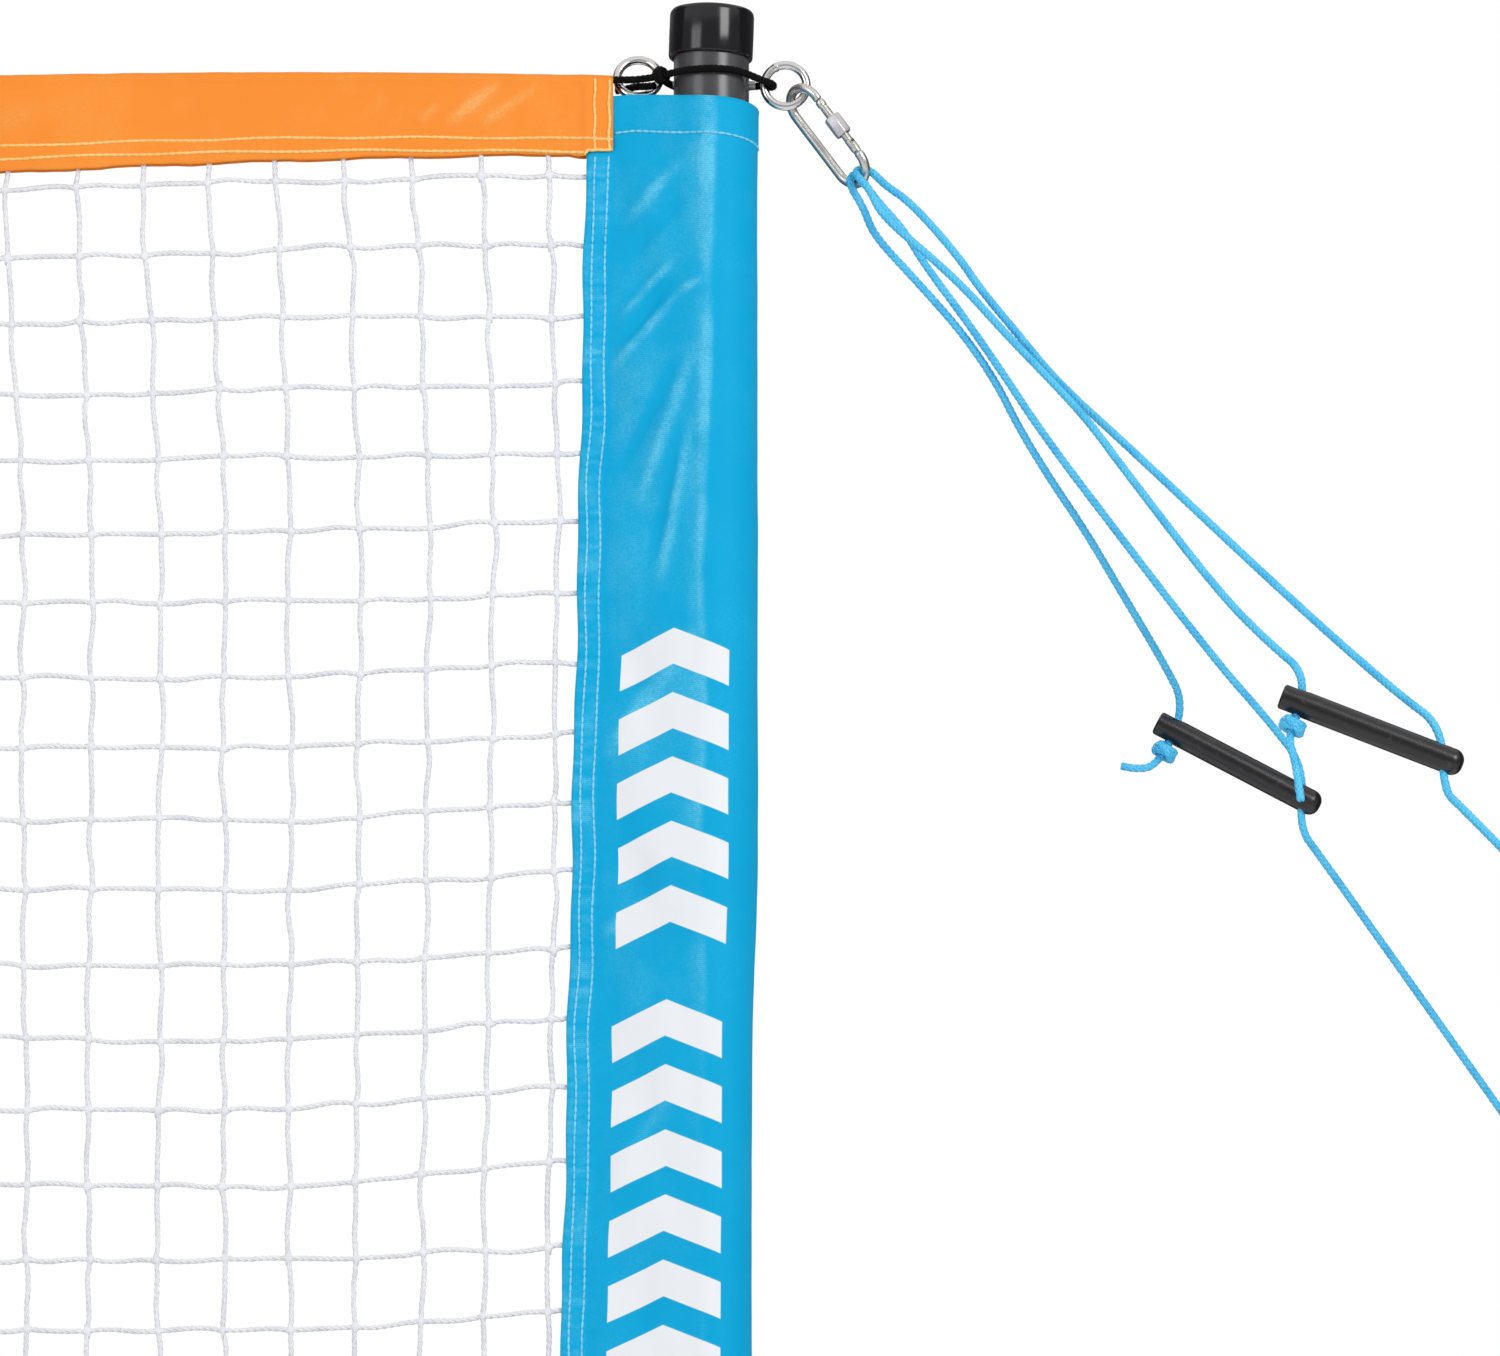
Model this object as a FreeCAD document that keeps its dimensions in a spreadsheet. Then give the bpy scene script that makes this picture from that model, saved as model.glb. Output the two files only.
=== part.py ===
"""Right-hand end of a portable net set: pole top, sleeve, taped net, ring, snap hook and two guys.

Millimetres. Z is up, X runs along the net towards the guys, Y away from the net's front face.
The origin is the centre of the pole section's open lower end.
"""

import FreeCAD, Part
import math
import os
import re

import Sketcher

Vector = FreeCAD.Vector
Rotation = FreeCAD.Rotation
Placement = FreeCAD.Placement

# Name, value, meaning. All lengths in millimetres, all angles in degrees.
SIZES = [
    ("pole_dia", 44.5, "outside of the steel pole"),
    ("pole_wall", 1.5, "wall of the steel pole"),
    ("pole_length", 1032.0, "length of this pole section"),
    ("socket_depth", 90.0, "reamed length that takes the section below"),
    ("socket_wall", 1.2, "wall left round the reamed length"),
    ("cap_wall", 2.5, "skirt of the push-on cap"),
    ("cap_height", 29.5, "height of the cap"),
    ("cap_roof", 3.0, "top of the cap"),
    ("cap_edge", 2.0, "rounding of the cap's top edge"),
    ("fit_gap", 0.1, "gap of a pushed-on or threaded piece in its seat"),
    ("soft_gap", 0.3, "gap left between soft pieces that touch"),
    ("cord_drop", 37.8, "head cord below the pole's top end"),
    ("pin_dia", 5.2, "cross pin that the head cord rests on"),
    ("pin_drop", 4.4, "cross pin below the head cord"),
    ("pin_reach", 3.6, "stand-out of the cross pin on the guy side"),
    ("pin_back", 0.6, "stand-out of the cross pin on the net side"),
    ("cord_dia", 4.8, "black head cord"),
    ("ring_wire", 5.0, "wire of both welded rings"),
    ("ring_bore", 20.0, "inside of both welded rings"),
    ("guy_ring_place", 43.7, "centre of the guy ring from the pole's axis"),
    ("guy_ring_drop", 4.6, "guy ring below the head cord"),
    ("head_knot_place", 11.25, "start of the head knot from the pole's side"),
    ("tape_ring_place", 9.7, "centre of the tape ring beyond the start of the head knot"),
    ("tape_ring_rise", 1.5, "tape ring above the head cord"),
    ("tape_ring_back", 6.4, "how far the tape ring stands behind the cord"),
    ("tape_ring_lean", 18.0, "lean of the tape ring's top away from the front"),
    ("hook_wire", 5.6, "wire of the snap hook"),
    ("hook_bend", 11.9, "radius of the hook's bends to the wire's middle"),
    ("hook_straight", 43.6, "distance between the centres of the two bends"),
    ("hook_lean", 53.5, "fall of the hook's long axis below level"),
    ("hook_turn", 54.0, "turn of the hook about its long axis"),
    ("hook_seat_turn", 33.0, "place on the guy ring where the hook passes"),
    ("hook_seat_reach", 6.0, "distance of the hook's top from the ring's centre"),
    ("gate_length", 35.0, "gate from its nose to its rivet"),
    ("gate_nose_place", 3.0, "nose of the gate below the top bend's centre"),
    ("gate_root_dia", 5.2, "threaded stem of the gate"),
    ("gate_gap", 0.4, "gap between the gate and the hook's nose"),
    ("fork_slot", 2.6, "slot in the gate's fork"),
    ("slot_depth", 4.3, "slot in the fork above the rivet"),
    ("tongue_thick", 2.3, "tongue on the hook that the fork straddles"),
    ("rivet_dia", 2.2, "rivet of the gate"),
    ("rivet_play", 0.05, "radial play of the rivet in the gate"),
    ("nut_flats", 9.4, "across the flats of the screw sleeve"),
    ("nut_length", 13.0, "length of the screw sleeve"),
    ("nut_place", 12.5, "top of the screw sleeve below the gate's nose"),
    ("plunger_dia", 1.6, "spring plunger inside the gate"),
    ("plunger_length", 5.0, "length of the spring plunger"),
    ("spring_length", 7.0, "length of the spring inside the gate"),
    ("tape_left", -484.5, "left end of the tape"),
    ("tape_end_place", 14.8, "right end of the tape beyond the tape ring's centre"),
    ("tape_rise", 2.0, "tape's top edge above the head cord round the pole"),
    ("tape_depth", 51.0, "height of the tape at its right end"),
    ("tape_crown", 2.5, "rise of the top edge in the middle of the bay"),
    ("tape_sag", 8.0, "drop of the bottom edge at the left end"),
    ("tape_lap", 15.5, "length of tape that covers the sleeve's corner"),
    ("tape_lap_rise", 5.0, "how much shorter the tape is over the sleeve"),
    ("cloth", 0.8, "thickness of tape and sleeve cloth"),
    ("twine", 3.4, "width of a net strand"),
    ("twine_thick", 3.0, "depth of a net strand"),
    ("net_column_place", 20.0, "last full column of knots beyond the sleeve's sewn edge"),
    ("mesh_wide", 38.8, "mesh across"),
    ("net_columns", 10, "full meshes across"),
    ("net_rows", 21, "meshes up and down"),
    ("net_drop", 20.7, "top strand of the net below the tape's top edge"),
    ("foot_tape_bottom", 71.0, "bottom edge of the foot tape"),
    ("net_hem", 7.8, "bottom strand of the net above the foot tape's fold"),
    ("sleeve_drop", 13.5, "top edge of the pole sleeve below the tape's top edge"),
    ("sleeve_bottom", 70.0, "bottom edge of the pole sleeve"),
    ("sleeve_edge_place", 15.0, "sewn edge of the sleeve at its top beyond the tape's end"),
    ("sleeve_flare", 16.8, "how far the sewn edge stands out at the bottom"),
    ("sleeve_seam", 15.2, "width of the sewn edge"),
    ("sleeve_ease", 2.95, "from the pole's side to the outside of the loose sleeve"),
    ("sleeve_shift", 1.7, "offset of the sleeve from the pole's axis"),
    ("sleeve_slack", 400.0, "height below which the sleeve lies close to the pole"),
    ("foot_tape_depth", 40.0, "height of the foot tape"),
    ("rope_dia", 4.8, "cyan guy rope"),
    ("slider_length", 110.0, "length of a line slider"),
    ("slider_dia", 15.4, "diameter of a line slider"),
    ("slider_holes", 86.0, "distance between the two rope holes"),
    ("slider_hole_dia", 6.4, "rope hole of a line slider"),
    ("slider_slant", 22.0, "slant of the hole for the standing part"),
    ("slider_collar", 0.5, "step at the slider's plugged end"),
    ("slider_collar_length", 9.0, "length of the plugged end"),
    ("knot_dia", 14.5, "stop knot"),
    ("knot_length", 11.0, "length of a stop knot"),
    ("loop_length", 74.0, "loop at the end of a guy"),
    ("loop_width", 40.0, "width of the loop at the end of a guy"),
]

# Chosen points of the guys, from the hook to the slider and from the slider to the end knot,
# and the place and height of the guy ring that they were chosen for.
GUY_RING = (43.7, 989.6)
REAR_RETURN = [(95.5, 15, 903), (119.5, 34, 881), (147, 50.5, 853.5), (168, 70, 827.5),
               (182, 88, 803), (202, 108, 774), (222, 132, 750), (250, 164, 709),
               (270, 189, 681)]
REAR_STANDING = [(113.5, 17, 906.5), (126, 29, 888), (151.5, 46, 857), (173.5, 66, 829),
                 (198, 87, 796), (240, 122, 747.5), (302, 169, 676), (334, 195, 645)]
FRONT_RETURN = [(100, -22, 906), (133, -43, 872.5), (152, -58, 850), (171, -75, 824),
                (196, -98, 792), (218, -122, 762), (238, -142, 729), (290, -200, 645),
                (317, -229, 610)]
FRONT_STANDING = [(117.5, -17, 915), (144, -36.5, 879.5), (158, -51, 854.5), (177, -68.5, 827),
                  (202, -91, 790), (238, -120, 750), (334, -187, 641), (392, -232, 578)]
REAR_LOWER = [(366, 231, 569), (497, 346, 407)]
FRONT_LOWER = [(424, -266, 508), (474, -311, 445)]
REAR_SLIDER = ((316.2, 214.0, 621.9), (0.8825, 0.0, -0.4709))
FRONT_SLIDER = ((375.1, -250.0, 554.3), (0.9305, 0.0, -0.3664))
REAR_PULL = (0.509, 0.493, -0.705)
FRONT_PULL = (0.528, -0.511, -0.679)


def make_sheet(doc):
    """Write every driving size to the sheet and return it."""
    sheet = doc.addObject("Spreadsheet::Sheet", "Sizes")
    for row, (alias, value, meaning) in enumerate(SIZES, start=1):
        sheet.set(f"A{row}", meaning)
        sheet.set(f"B{row}", str(value))
        sheet.setAlias(f"B{row}", alias)
    doc.recompute()
    return sheet


def value_of(sheet, text):
    """Number of an expression written with the sheet's names."""
    names = {name: float(getattr(sheet, name)) for name, _, _ in SIZES}
    result = 0.0
    for term in re.findall(r"[+-]?[^+-]+", text.replace(" ", "")):
        sign = -1.0 if term.startswith("-") else 1.0
        product = 1.0
        for index, factor in enumerate(re.split(r"([*/])", term.lstrip("+-"))):
            if index % 2:
                continue
            number = names[factor] if factor in names else float(factor)
            divides = index > 0 and re.split(r"([*/])", term.lstrip("+-"))[index - 1] == "/"
            product = product / number if divides else product * number
        result += sign * product
    return result


def bound(text):
    """The same expression with the sheet's name in front of each size."""
    return re.sub(r"[a-z][a-z_]{3,}", lambda match: "Sizes." + match.group(0), text)


def cord_level(sheet):
    """Height of the head cord round the pole."""
    return float(sheet.pole_length - sheet.cord_drop)


def guy_ring_centre(sheet):
    """Centre of the guy ring."""
    return Vector(sheet.guy_ring_place, 0, cord_level(sheet) - sheet.guy_ring_drop)


def head_knot_start(sheet):
    """Start of the head knot on the net side of the pole."""
    return Vector(-sheet.pole_dia / 2 - sheet.head_knot_place, -8.4, cord_level(sheet) - 1.4)


def tape_ring_centre(sheet):
    """Centre of the tape ring."""
    height = cord_level(sheet) + sheet.tape_ring_rise
    return Vector(head_knot_start(sheet).x - sheet.tape_ring_place, sheet.tape_ring_back, height)


def tape_end(sheet):
    """Place of the tape's right end."""
    return tape_ring_centre(sheet).x - float(sheet.tape_end_place)


def tape_level(sheet):
    """Height of the tape's top edge at its right end."""
    return cord_level(sheet) + float(sheet.tape_rise)


def sleeve_level(sheet):
    """Height of the pole sleeve's top edge."""
    return tape_level(sheet) - float(sheet.sleeve_drop)


def net_levels(sheet):
    """Heights of the net's level strands, from the top down."""
    top = tape_level(sheet) - float(sheet.net_drop)
    bottom = float(sheet.foot_tape_bottom + sheet.net_hem)
    rows = int(sheet.net_rows)
    return [top - (top - bottom) * row / rows for row in range(rows + 1)]


def sleeve_left(sheet):
    """Place of the sleeve's sewn edge at its top."""
    return tape_end(sheet) - float(sheet.sleeve_edge_place)


def plane_of(body, role):
    """One of the body's own origin planes."""
    return [item for item in body.Origin.OriginFeatures if item.Role == role][0]


def profile(body, name, role, points, sheet):
    """Closed sketch whose every corner is bound to the sheet."""
    sketch = body.newObject("Sketcher::SketchObject", name)
    sketch.AttachmentSupport = [(plane_of(body, role), "")]
    sketch.MapMode = "FlatFace"
    places = [Vector(value_of(sheet, x), value_of(sheet, y), 0) for x, y in points]
    count = len(places)
    for index in range(count):
        sketch.addGeometry(Part.LineSegment(places[index], places[(index + 1) % count]))
    for index in range(count):
        sketch.addConstraint(Sketcher.Constraint("Coincident", index, 2, (index + 1) % count, 1))
    for index, (x, y) in enumerate(points):
        for kind, text in (("DistanceX", x), ("DistanceY", y)):
            row = sketch.addConstraint(
                Sketcher.Constraint(kind, -1, 1, index, 1, value_of(sheet, text)))
            sketch.setExpression(f"Constraints[{row}]", bound(text))
    return sketch


def circle_sketch(body, name, role, radii, sheet, centre=("0", "0")):
    """Sketch of circles on one centre, all bound to the sheet."""
    sketch = body.newObject("Sketcher::SketchObject", name)
    sketch.AttachmentSupport = [(plane_of(body, role), "")]
    sketch.MapMode = "FlatFace"
    x, y = (value_of(sheet, text) for text in centre)
    for index, text in enumerate(radii):
        circle = Part.Circle(Vector(x, y, 0), Vector(0, 0, 1), value_of(sheet, text))
        sketch.addGeometry(circle)
        row = sketch.addConstraint(
            Sketcher.Constraint("Radius", index, value_of(sheet, text)))
        sketch.setExpression(f"Constraints[{row}]", bound(text))
        for kind, place in (("DistanceX", 0), ("DistanceY", 1)):
            row = sketch.addConstraint(
                Sketcher.Constraint(kind, -1, 1, index, 3, value_of(sheet, centre[place])))
            sketch.setExpression(f"Constraints[{row}]", bound(centre[place]))
    return sketch


def revolved(doc, label, points, sheet, role="XZ_Plane"):
    """Body turned about its own upright axis from a bound profile."""
    body = doc.addObject("PartDesign::Body", label)
    body.Label = label
    sketch = profile(body, label + "_section", role, points, sheet)
    turn = body.newObject("PartDesign::Revolution", label + "_turn")
    turn.Profile = sketch
    turn.ReferenceAxis = (sketch, ["V_Axis"])
    turn.Angle = 360.0
    doc.recompute()
    return body


def primitive(doc, kind, name, sizes, place=None):
    """Solid primitive with its sizes bound to the sheet."""
    item = doc.addObject(kind, name)
    for field, text in sizes.items():
        item.setExpression(field, bound(text))
    if place is not None:
        item.Placement = place
    return item


def join(doc, name, parts):
    """One solid from touching primitives."""
    item = doc.addObject("Part::MultiFuse", name)
    item.Shapes = parts
    return item


def cut(doc, name, base, tool):
    """Base with the tool taken away."""
    item = doc.addObject("Part::Cut", name)
    item.Base = base
    item.Tool = tool
    return item


def feature(doc, label, shape):
    """Formed piece under its own name."""
    item = doc.addObject("Part::Feature", label)
    item.Label = label
    item.Shape = shape
    return item


def frame_at(origin, along, across):
    """Placement whose Z runs along the first direction and X across it."""
    z_axis = Vector(along)
    z_axis.normalize()
    x_axis = Vector(across)
    x_axis = x_axis - z_axis * x_axis.dot(z_axis)
    x_axis.normalize()
    return Placement(Vector(origin), Rotation(x_axis, z_axis.cross(x_axis), z_axis, "ZXY"))


def arc_cut(before, corner, after, radius=None):
    """Tangent arc at a corner: start, middle, end, radius."""
    back = before - corner
    ahead = after - corner
    turn = math.pi - back.getAngle(ahead)
    shorter = min(back.Length, ahead.Length)
    if radius is None:
        radius = 0.45 * shorter / math.tan(turn / 2)
    reach = radius * math.tan(turn / 2)
    back.normalize()
    ahead.normalize()
    middle_way = back + ahead
    middle_way.normalize()
    middle = corner + middle_way * (radius / math.cos(turn / 2) - radius)
    return corner + back * reach, middle, corner + ahead * reach, radius


def cord_path(points, radii):
    """Straight runs joined by tangent arcs, as one wire, with its least radius."""
    edges = []
    least = 1e9
    last = points[0]
    for index in range(1, len(points) - 1):
        start, middle, end, radius = arc_cut(points[index - 1], points[index],
                                             points[index + 1], radii.get(index))
        if (start - last).Length > 0.01:
            edges.append(Part.makeLine(last, start))
        edges.append(Part.Arc(start, middle, end).toShape())
        last = end
        least = min(least, radius)
    edges.append(Part.makeLine(last, points[-1]))
    return Part.Wire(edges), least


def cord_tube(name, points, diameter, radii=None):
    """Round tube along a chosen route, checked against section times length."""
    points = [Vector(*point) for point in points]
    path, least = cord_path(points, radii or {})
    along = points[1] - points[0]
    ring = Part.Wire(Part.makeCircle(diameter / 2, points[0], along))
    tube = path.makePipeShell([ring], True, False)
    wanted = math.pi * diameter ** 2 / 4 * path.Length
    if abs(tube.Volume - wanted) > 0.01 * wanted:
        raise ValueError(f"{name}: volume {tube.Volume:.1f}, wanted {wanted:.1f}")
    print(f"{name}: length {path.Length:.1f}, least radius {least:.1f}, points "
          + " ".join(f"({p.x:.1f},{p.y:.1f},{p.z:.1f})" for p in points))
    return tube


def make_pole(doc, sheet):
    """Steel tube with a reamed lower socket and a hole for the cross pin."""
    body = doc.addObject("PartDesign::Body", "pole_tube")
    body.Label = "pole_tube"
    rim = circle_sketch(body, "pole_section", "XY_Plane",
                        ["pole_dia/2", "pole_dia/2-pole_wall"], sheet)
    pad = body.newObject("PartDesign::Pad", "pole_pad")
    pad.Profile = rim
    pad.setExpression("Length", bound("pole_length"))
    doc.recompute()
    socket = circle_sketch(body, "socket_section", "XY_Plane",
                           ["pole_dia/2-socket_wall"], sheet)
    ream = body.newObject("PartDesign::Pocket", "socket_pocket")
    ream.Profile = socket
    ream.Reversed = True
    ream.setExpression("Length", bound("socket_depth"))
    doc.recompute()
    hole = circle_sketch(body, "pin_section", "YZ_Plane", ["pin_dia/2+fit_gap/2"], sheet,
                         ("0", "pole_length-cord_drop-pin_drop"))
    cross = body.newObject("PartDesign::Pocket", "pin_pocket")
    cross.Profile = hole
    cross.Type = 1
    cross.Midplane = True
    doc.recompute()
    if not pad.Shape.Volume > ream.Shape.Volume > cross.Shape.Volume:
        raise ValueError("the pole's socket or pin hole cut nothing")
    return body


def make_cap(doc, sheet):
    """Push-on cap that stands proud of the pole all round."""
    points = [("0", "pole_length"),
              ("pole_dia/2+fit_gap", "pole_length"),
              ("pole_dia/2+fit_gap", "pole_length+cap_roof-cap_height"),
              ("pole_dia/2+fit_gap+cap_wall", "pole_length+cap_roof-cap_height"),
              ("pole_dia/2+fit_gap+cap_wall", "pole_length+cap_roof"),
              ("0", "pole_length+cap_roof")]
    body = revolved(doc, "pole_cap", points, sheet)
    turn = body.Tip
    top = float(sheet.pole_length + sheet.cap_roof)
    names = [f"Edge{index}" for index, edge in enumerate(turn.Shape.Edges, start=1)
             if abs(edge.BoundBox.ZMin - top) < 1e-6 and abs(edge.BoundBox.ZMax - top) < 1e-6
             and edge.BoundBox.XLength > float(sheet.pole_dia)]
    rounding = body.newObject("PartDesign::Fillet", "cap_rounding")
    rounding.Base = (turn, names)
    rounding.setExpression("Radius", bound("cap_edge"))
    doc.recompute()
    return body


def make_pin(doc, sheet):
    """Cross pin through the pole, just under the head cord."""
    height = cord_level(sheet) - sheet.pin_drop
    place = Placement(Vector(-sheet.pole_dia / 2 - sheet.pin_back, 0, height),
                      Rotation(Vector(0, 1, 0), 90))
    pin = primitive(doc, "Part::Cylinder", "cord_pin",
                    {"Radius": "pin_dia/2", "Height": "pole_dia+pin_back+pin_reach"}, place)
    pin.Label = "cord_pin"
    return pin


def make_ring(doc, label, centre, lean):
    """Welded ring that stands upright, its top leaning away from the front."""
    ring = primitive(doc, "Part::Torus", label,
                     {"Radius1": "ring_bore/2+ring_wire/2", "Radius2": "ring_wire/2"},
                     Placement(centre, Rotation(Vector(1, 0, 0), 90 - lean)))
    ring.Label = label
    return ring


class Hook:
    """Directions and places of the snap hook, worked out from the sheet."""

    def __init__(self, sheet):
        lean = math.radians(float(sheet.hook_lean))
        turn = math.radians(float(sheet.hook_turn))
        seat = math.radians(float(sheet.hook_seat_turn))
        self.down = Vector(math.cos(lean), 0, -math.sin(lean))
        self.side = Vector(math.sin(lean) * math.cos(turn), -math.sin(turn),
                           math.cos(lean) * math.cos(turn))
        self.face = self.down.cross(self.side)
        ring = guy_ring_centre(sheet)
        self.top = ring + Vector(math.cos(seat), 0, -math.sin(seat)) * float(sheet.hook_seat_reach)
        self.upper = self.top + self.down * float(sheet.hook_bend)
        self.lower = self.upper + self.down * float(sheet.hook_straight)
        self.frame = frame_at(self.upper, self.down, self.side)
        self.rivet = float(sheet.gate_nose_place + sheet.gate_length)

    def bend_point(self, sheet, pull):
        """Wire centre, wire direction and side direction where a rope with this pull lies."""
        pull = Vector(*pull)
        pull.normalize()
        turn = math.atan2(pull.dot(self.side), pull.dot(self.down))
        radius = float(sheet.hook_bend)
        centre = self.lower + (self.down * math.cos(turn) + self.side * math.sin(turn)) * radius
        wire = self.side * math.cos(turn) - self.down * math.sin(turn)
        across = wire.cross(pull)
        across.normalize()
        return centre, wire, across, pull


def make_hook_body(doc, sheet, hook):
    """Bent wire from the nose over the top, down the spine and back to the tongue."""
    turned = Rotation(Vector(1, 0, 0), 90)
    spine = primitive(doc, "Part::Cylinder", "hook_spine",
                      {"Radius": "hook_wire/2", "Height": "hook_straight"})
    spine.setExpression("Placement.Base.x", bound("-hook_bend"))
    top = primitive(doc, "Part::Torus", "hook_top",
                    {"Radius1": "hook_bend", "Radius2": "hook_wire/2"},
                    Placement(Vector(0, 0, 0), turned))
    top.Angle3 = 180
    top.Placement = Placement(Vector(0, 0, 0), Rotation(Vector(1, 0, 0), -90))
    foot = primitive(doc, "Part::Torus", "hook_foot",
                     {"Radius1": "hook_bend", "Radius2": "hook_wire/2"},
                     Placement(Vector(0, 0, 0), turned))
    foot.Angle3 = 180
    foot.setExpression("Placement.Base.z", bound("hook_straight"))
    leg = primitive(doc, "Part::Cylinder", "hook_leg",
                    {"Radius": "hook_wire/2",
                     "Height": "hook_straight-gate_nose_place-gate_length-hook_wire*0.75"})
    leg.setExpression("Placement.Base.x", bound("hook_bend"))
    leg.setExpression("Placement.Base.z", bound("gate_nose_place+gate_length+hook_wire*0.75"))
    stub = primitive(doc, "Part::Cylinder", "hook_stub",
                     {"Radius": "hook_wire/2", "Height": "gate_nose_place"})
    stub.setExpression("Placement.Base.x", bound("hook_bend"))
    tongue = primitive(doc, "Part::Box", "hook_tongue",
                       {"Length": "hook_wire", "Width": "tongue_thick",
                        "Height": "hook_wire*1.25"})
    tongue.setExpression("Placement.Base.x", bound("hook_bend-hook_wire/2"))
    tongue.setExpression("Placement.Base.y", bound("-tongue_thick/2"))
    tongue.setExpression("Placement.Base.z",
                         bound("gate_nose_place+gate_length-hook_wire*0.5"))
    whole = join(doc, "hook_wire_whole", [spine, top, foot, leg, stub, tongue])
    hole = primitive(doc, "Part::Cylinder", "hook_rivet_hole",
                     {"Radius": "rivet_dia/2", "Height": "hook_wire*2"},
                     Placement(Vector(0, 0, 0), turned))
    hole.setExpression("Placement.Base.x", bound("hook_bend"))
    hole.setExpression("Placement.Base.y", bound("hook_wire"))
    hole.setExpression("Placement.Base.z", bound("gate_nose_place+gate_length"))
    mouth = primitive(doc, "Part::Box", "hook_mouth",
                      {"Length": "hook_wire*1.5", "Width": "hook_wire*1.5",
                       "Height": "gate_length*0.5"})
    mouth.setExpression("Placement.Base.x", bound("hook_bend-hook_wire*0.75"))
    mouth.setExpression("Placement.Base.y", bound("-hook_wire*0.75"))
    mouth.setExpression("Placement.Base.z", bound("gate_nose_place-gate_gap"))
    nose_cut = doc.addObject("Part::MultiFuse", "hook_openings")
    nose_cut.Shapes = [hole, mouth]
    body = cut(doc, "hook_body", whole, nose_cut)
    body.Label = "hook_body"
    body.Placement = hook.frame
    return body


def make_gate(doc, sheet, hook):
    """Threaded stem with a rounded nose, forked over the hook's tongue."""
    stem = primitive(doc, "Part::Cylinder", "gate_stem",
                     {"Radius": "gate_root_dia/2", "Height": "gate_length-slot_depth"})
    stem.setExpression("Placement.Base.x", bound("hook_bend"))
    stem.setExpression("Placement.Base.z", bound("gate_nose_place"))
    nose = primitive(doc, "Part::Cylinder", "gate_nose",
                     {"Radius": "hook_wire/2", "Height": "hook_wire*0.8"})
    nose.setExpression("Placement.Base.x", bound("hook_bend"))
    nose.setExpression("Placement.Base.z", bound("gate_nose_place"))
    fork = primitive(doc, "Part::Cylinder", "gate_fork",
                     {"Radius": "hook_wire/2", "Height": "slot_depth+hook_wire*0.6"})
    fork.setExpression("Placement.Base.x", bound("hook_bend"))
    fork.setExpression("Placement.Base.z",
                       bound("gate_nose_place+gate_length-slot_depth-hook_wire*0.1"))
    whole = join(doc, "gate_whole", [stem, nose, fork])
    slot = primitive(doc, "Part::Box", "gate_slot",
                     {"Length": "hook_wire*1.5", "Width": "fork_slot",
                      "Height": "slot_depth+hook_wire"})
    slot.setExpression("Placement.Base.x", bound("hook_bend-hook_wire*0.75"))
    slot.setExpression("Placement.Base.y", bound("-fork_slot/2"))
    slot.setExpression("Placement.Base.z",
                       bound("gate_nose_place+gate_length-slot_depth"))
    hole = primitive(doc, "Part::Cylinder", "gate_rivet_hole",
                     {"Radius": "rivet_dia/2+rivet_play", "Height": "hook_wire*2"},
                     Placement(Vector(0, 0, 0), Rotation(Vector(1, 0, 0), 90)))
    hole.setExpression("Placement.Base.x", bound("hook_bend"))
    hole.setExpression("Placement.Base.y", bound("hook_wire"))
    hole.setExpression("Placement.Base.z", bound("gate_nose_place+gate_length"))
    well = primitive(doc, "Part::Cylinder", "gate_well",
                     {"Radius": "plunger_dia/2+fit_gap",
                      "Height": "plunger_length+spring_length+fit_gap*2"})
    well.setExpression("Placement.Base.x", bound("hook_bend"))
    well.setExpression("Placement.Base.z",
                       bound("gate_nose_place+gate_length-slot_depth"
                             "-plunger_length-spring_length-fit_gap*2"))
    gate = cut(doc, "hook_gate", whole, join(doc, "gate_openings", [slot, hole, well]))
    gate.Label = "hook_gate"
    gate.Placement = hook.frame
    return gate


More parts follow.
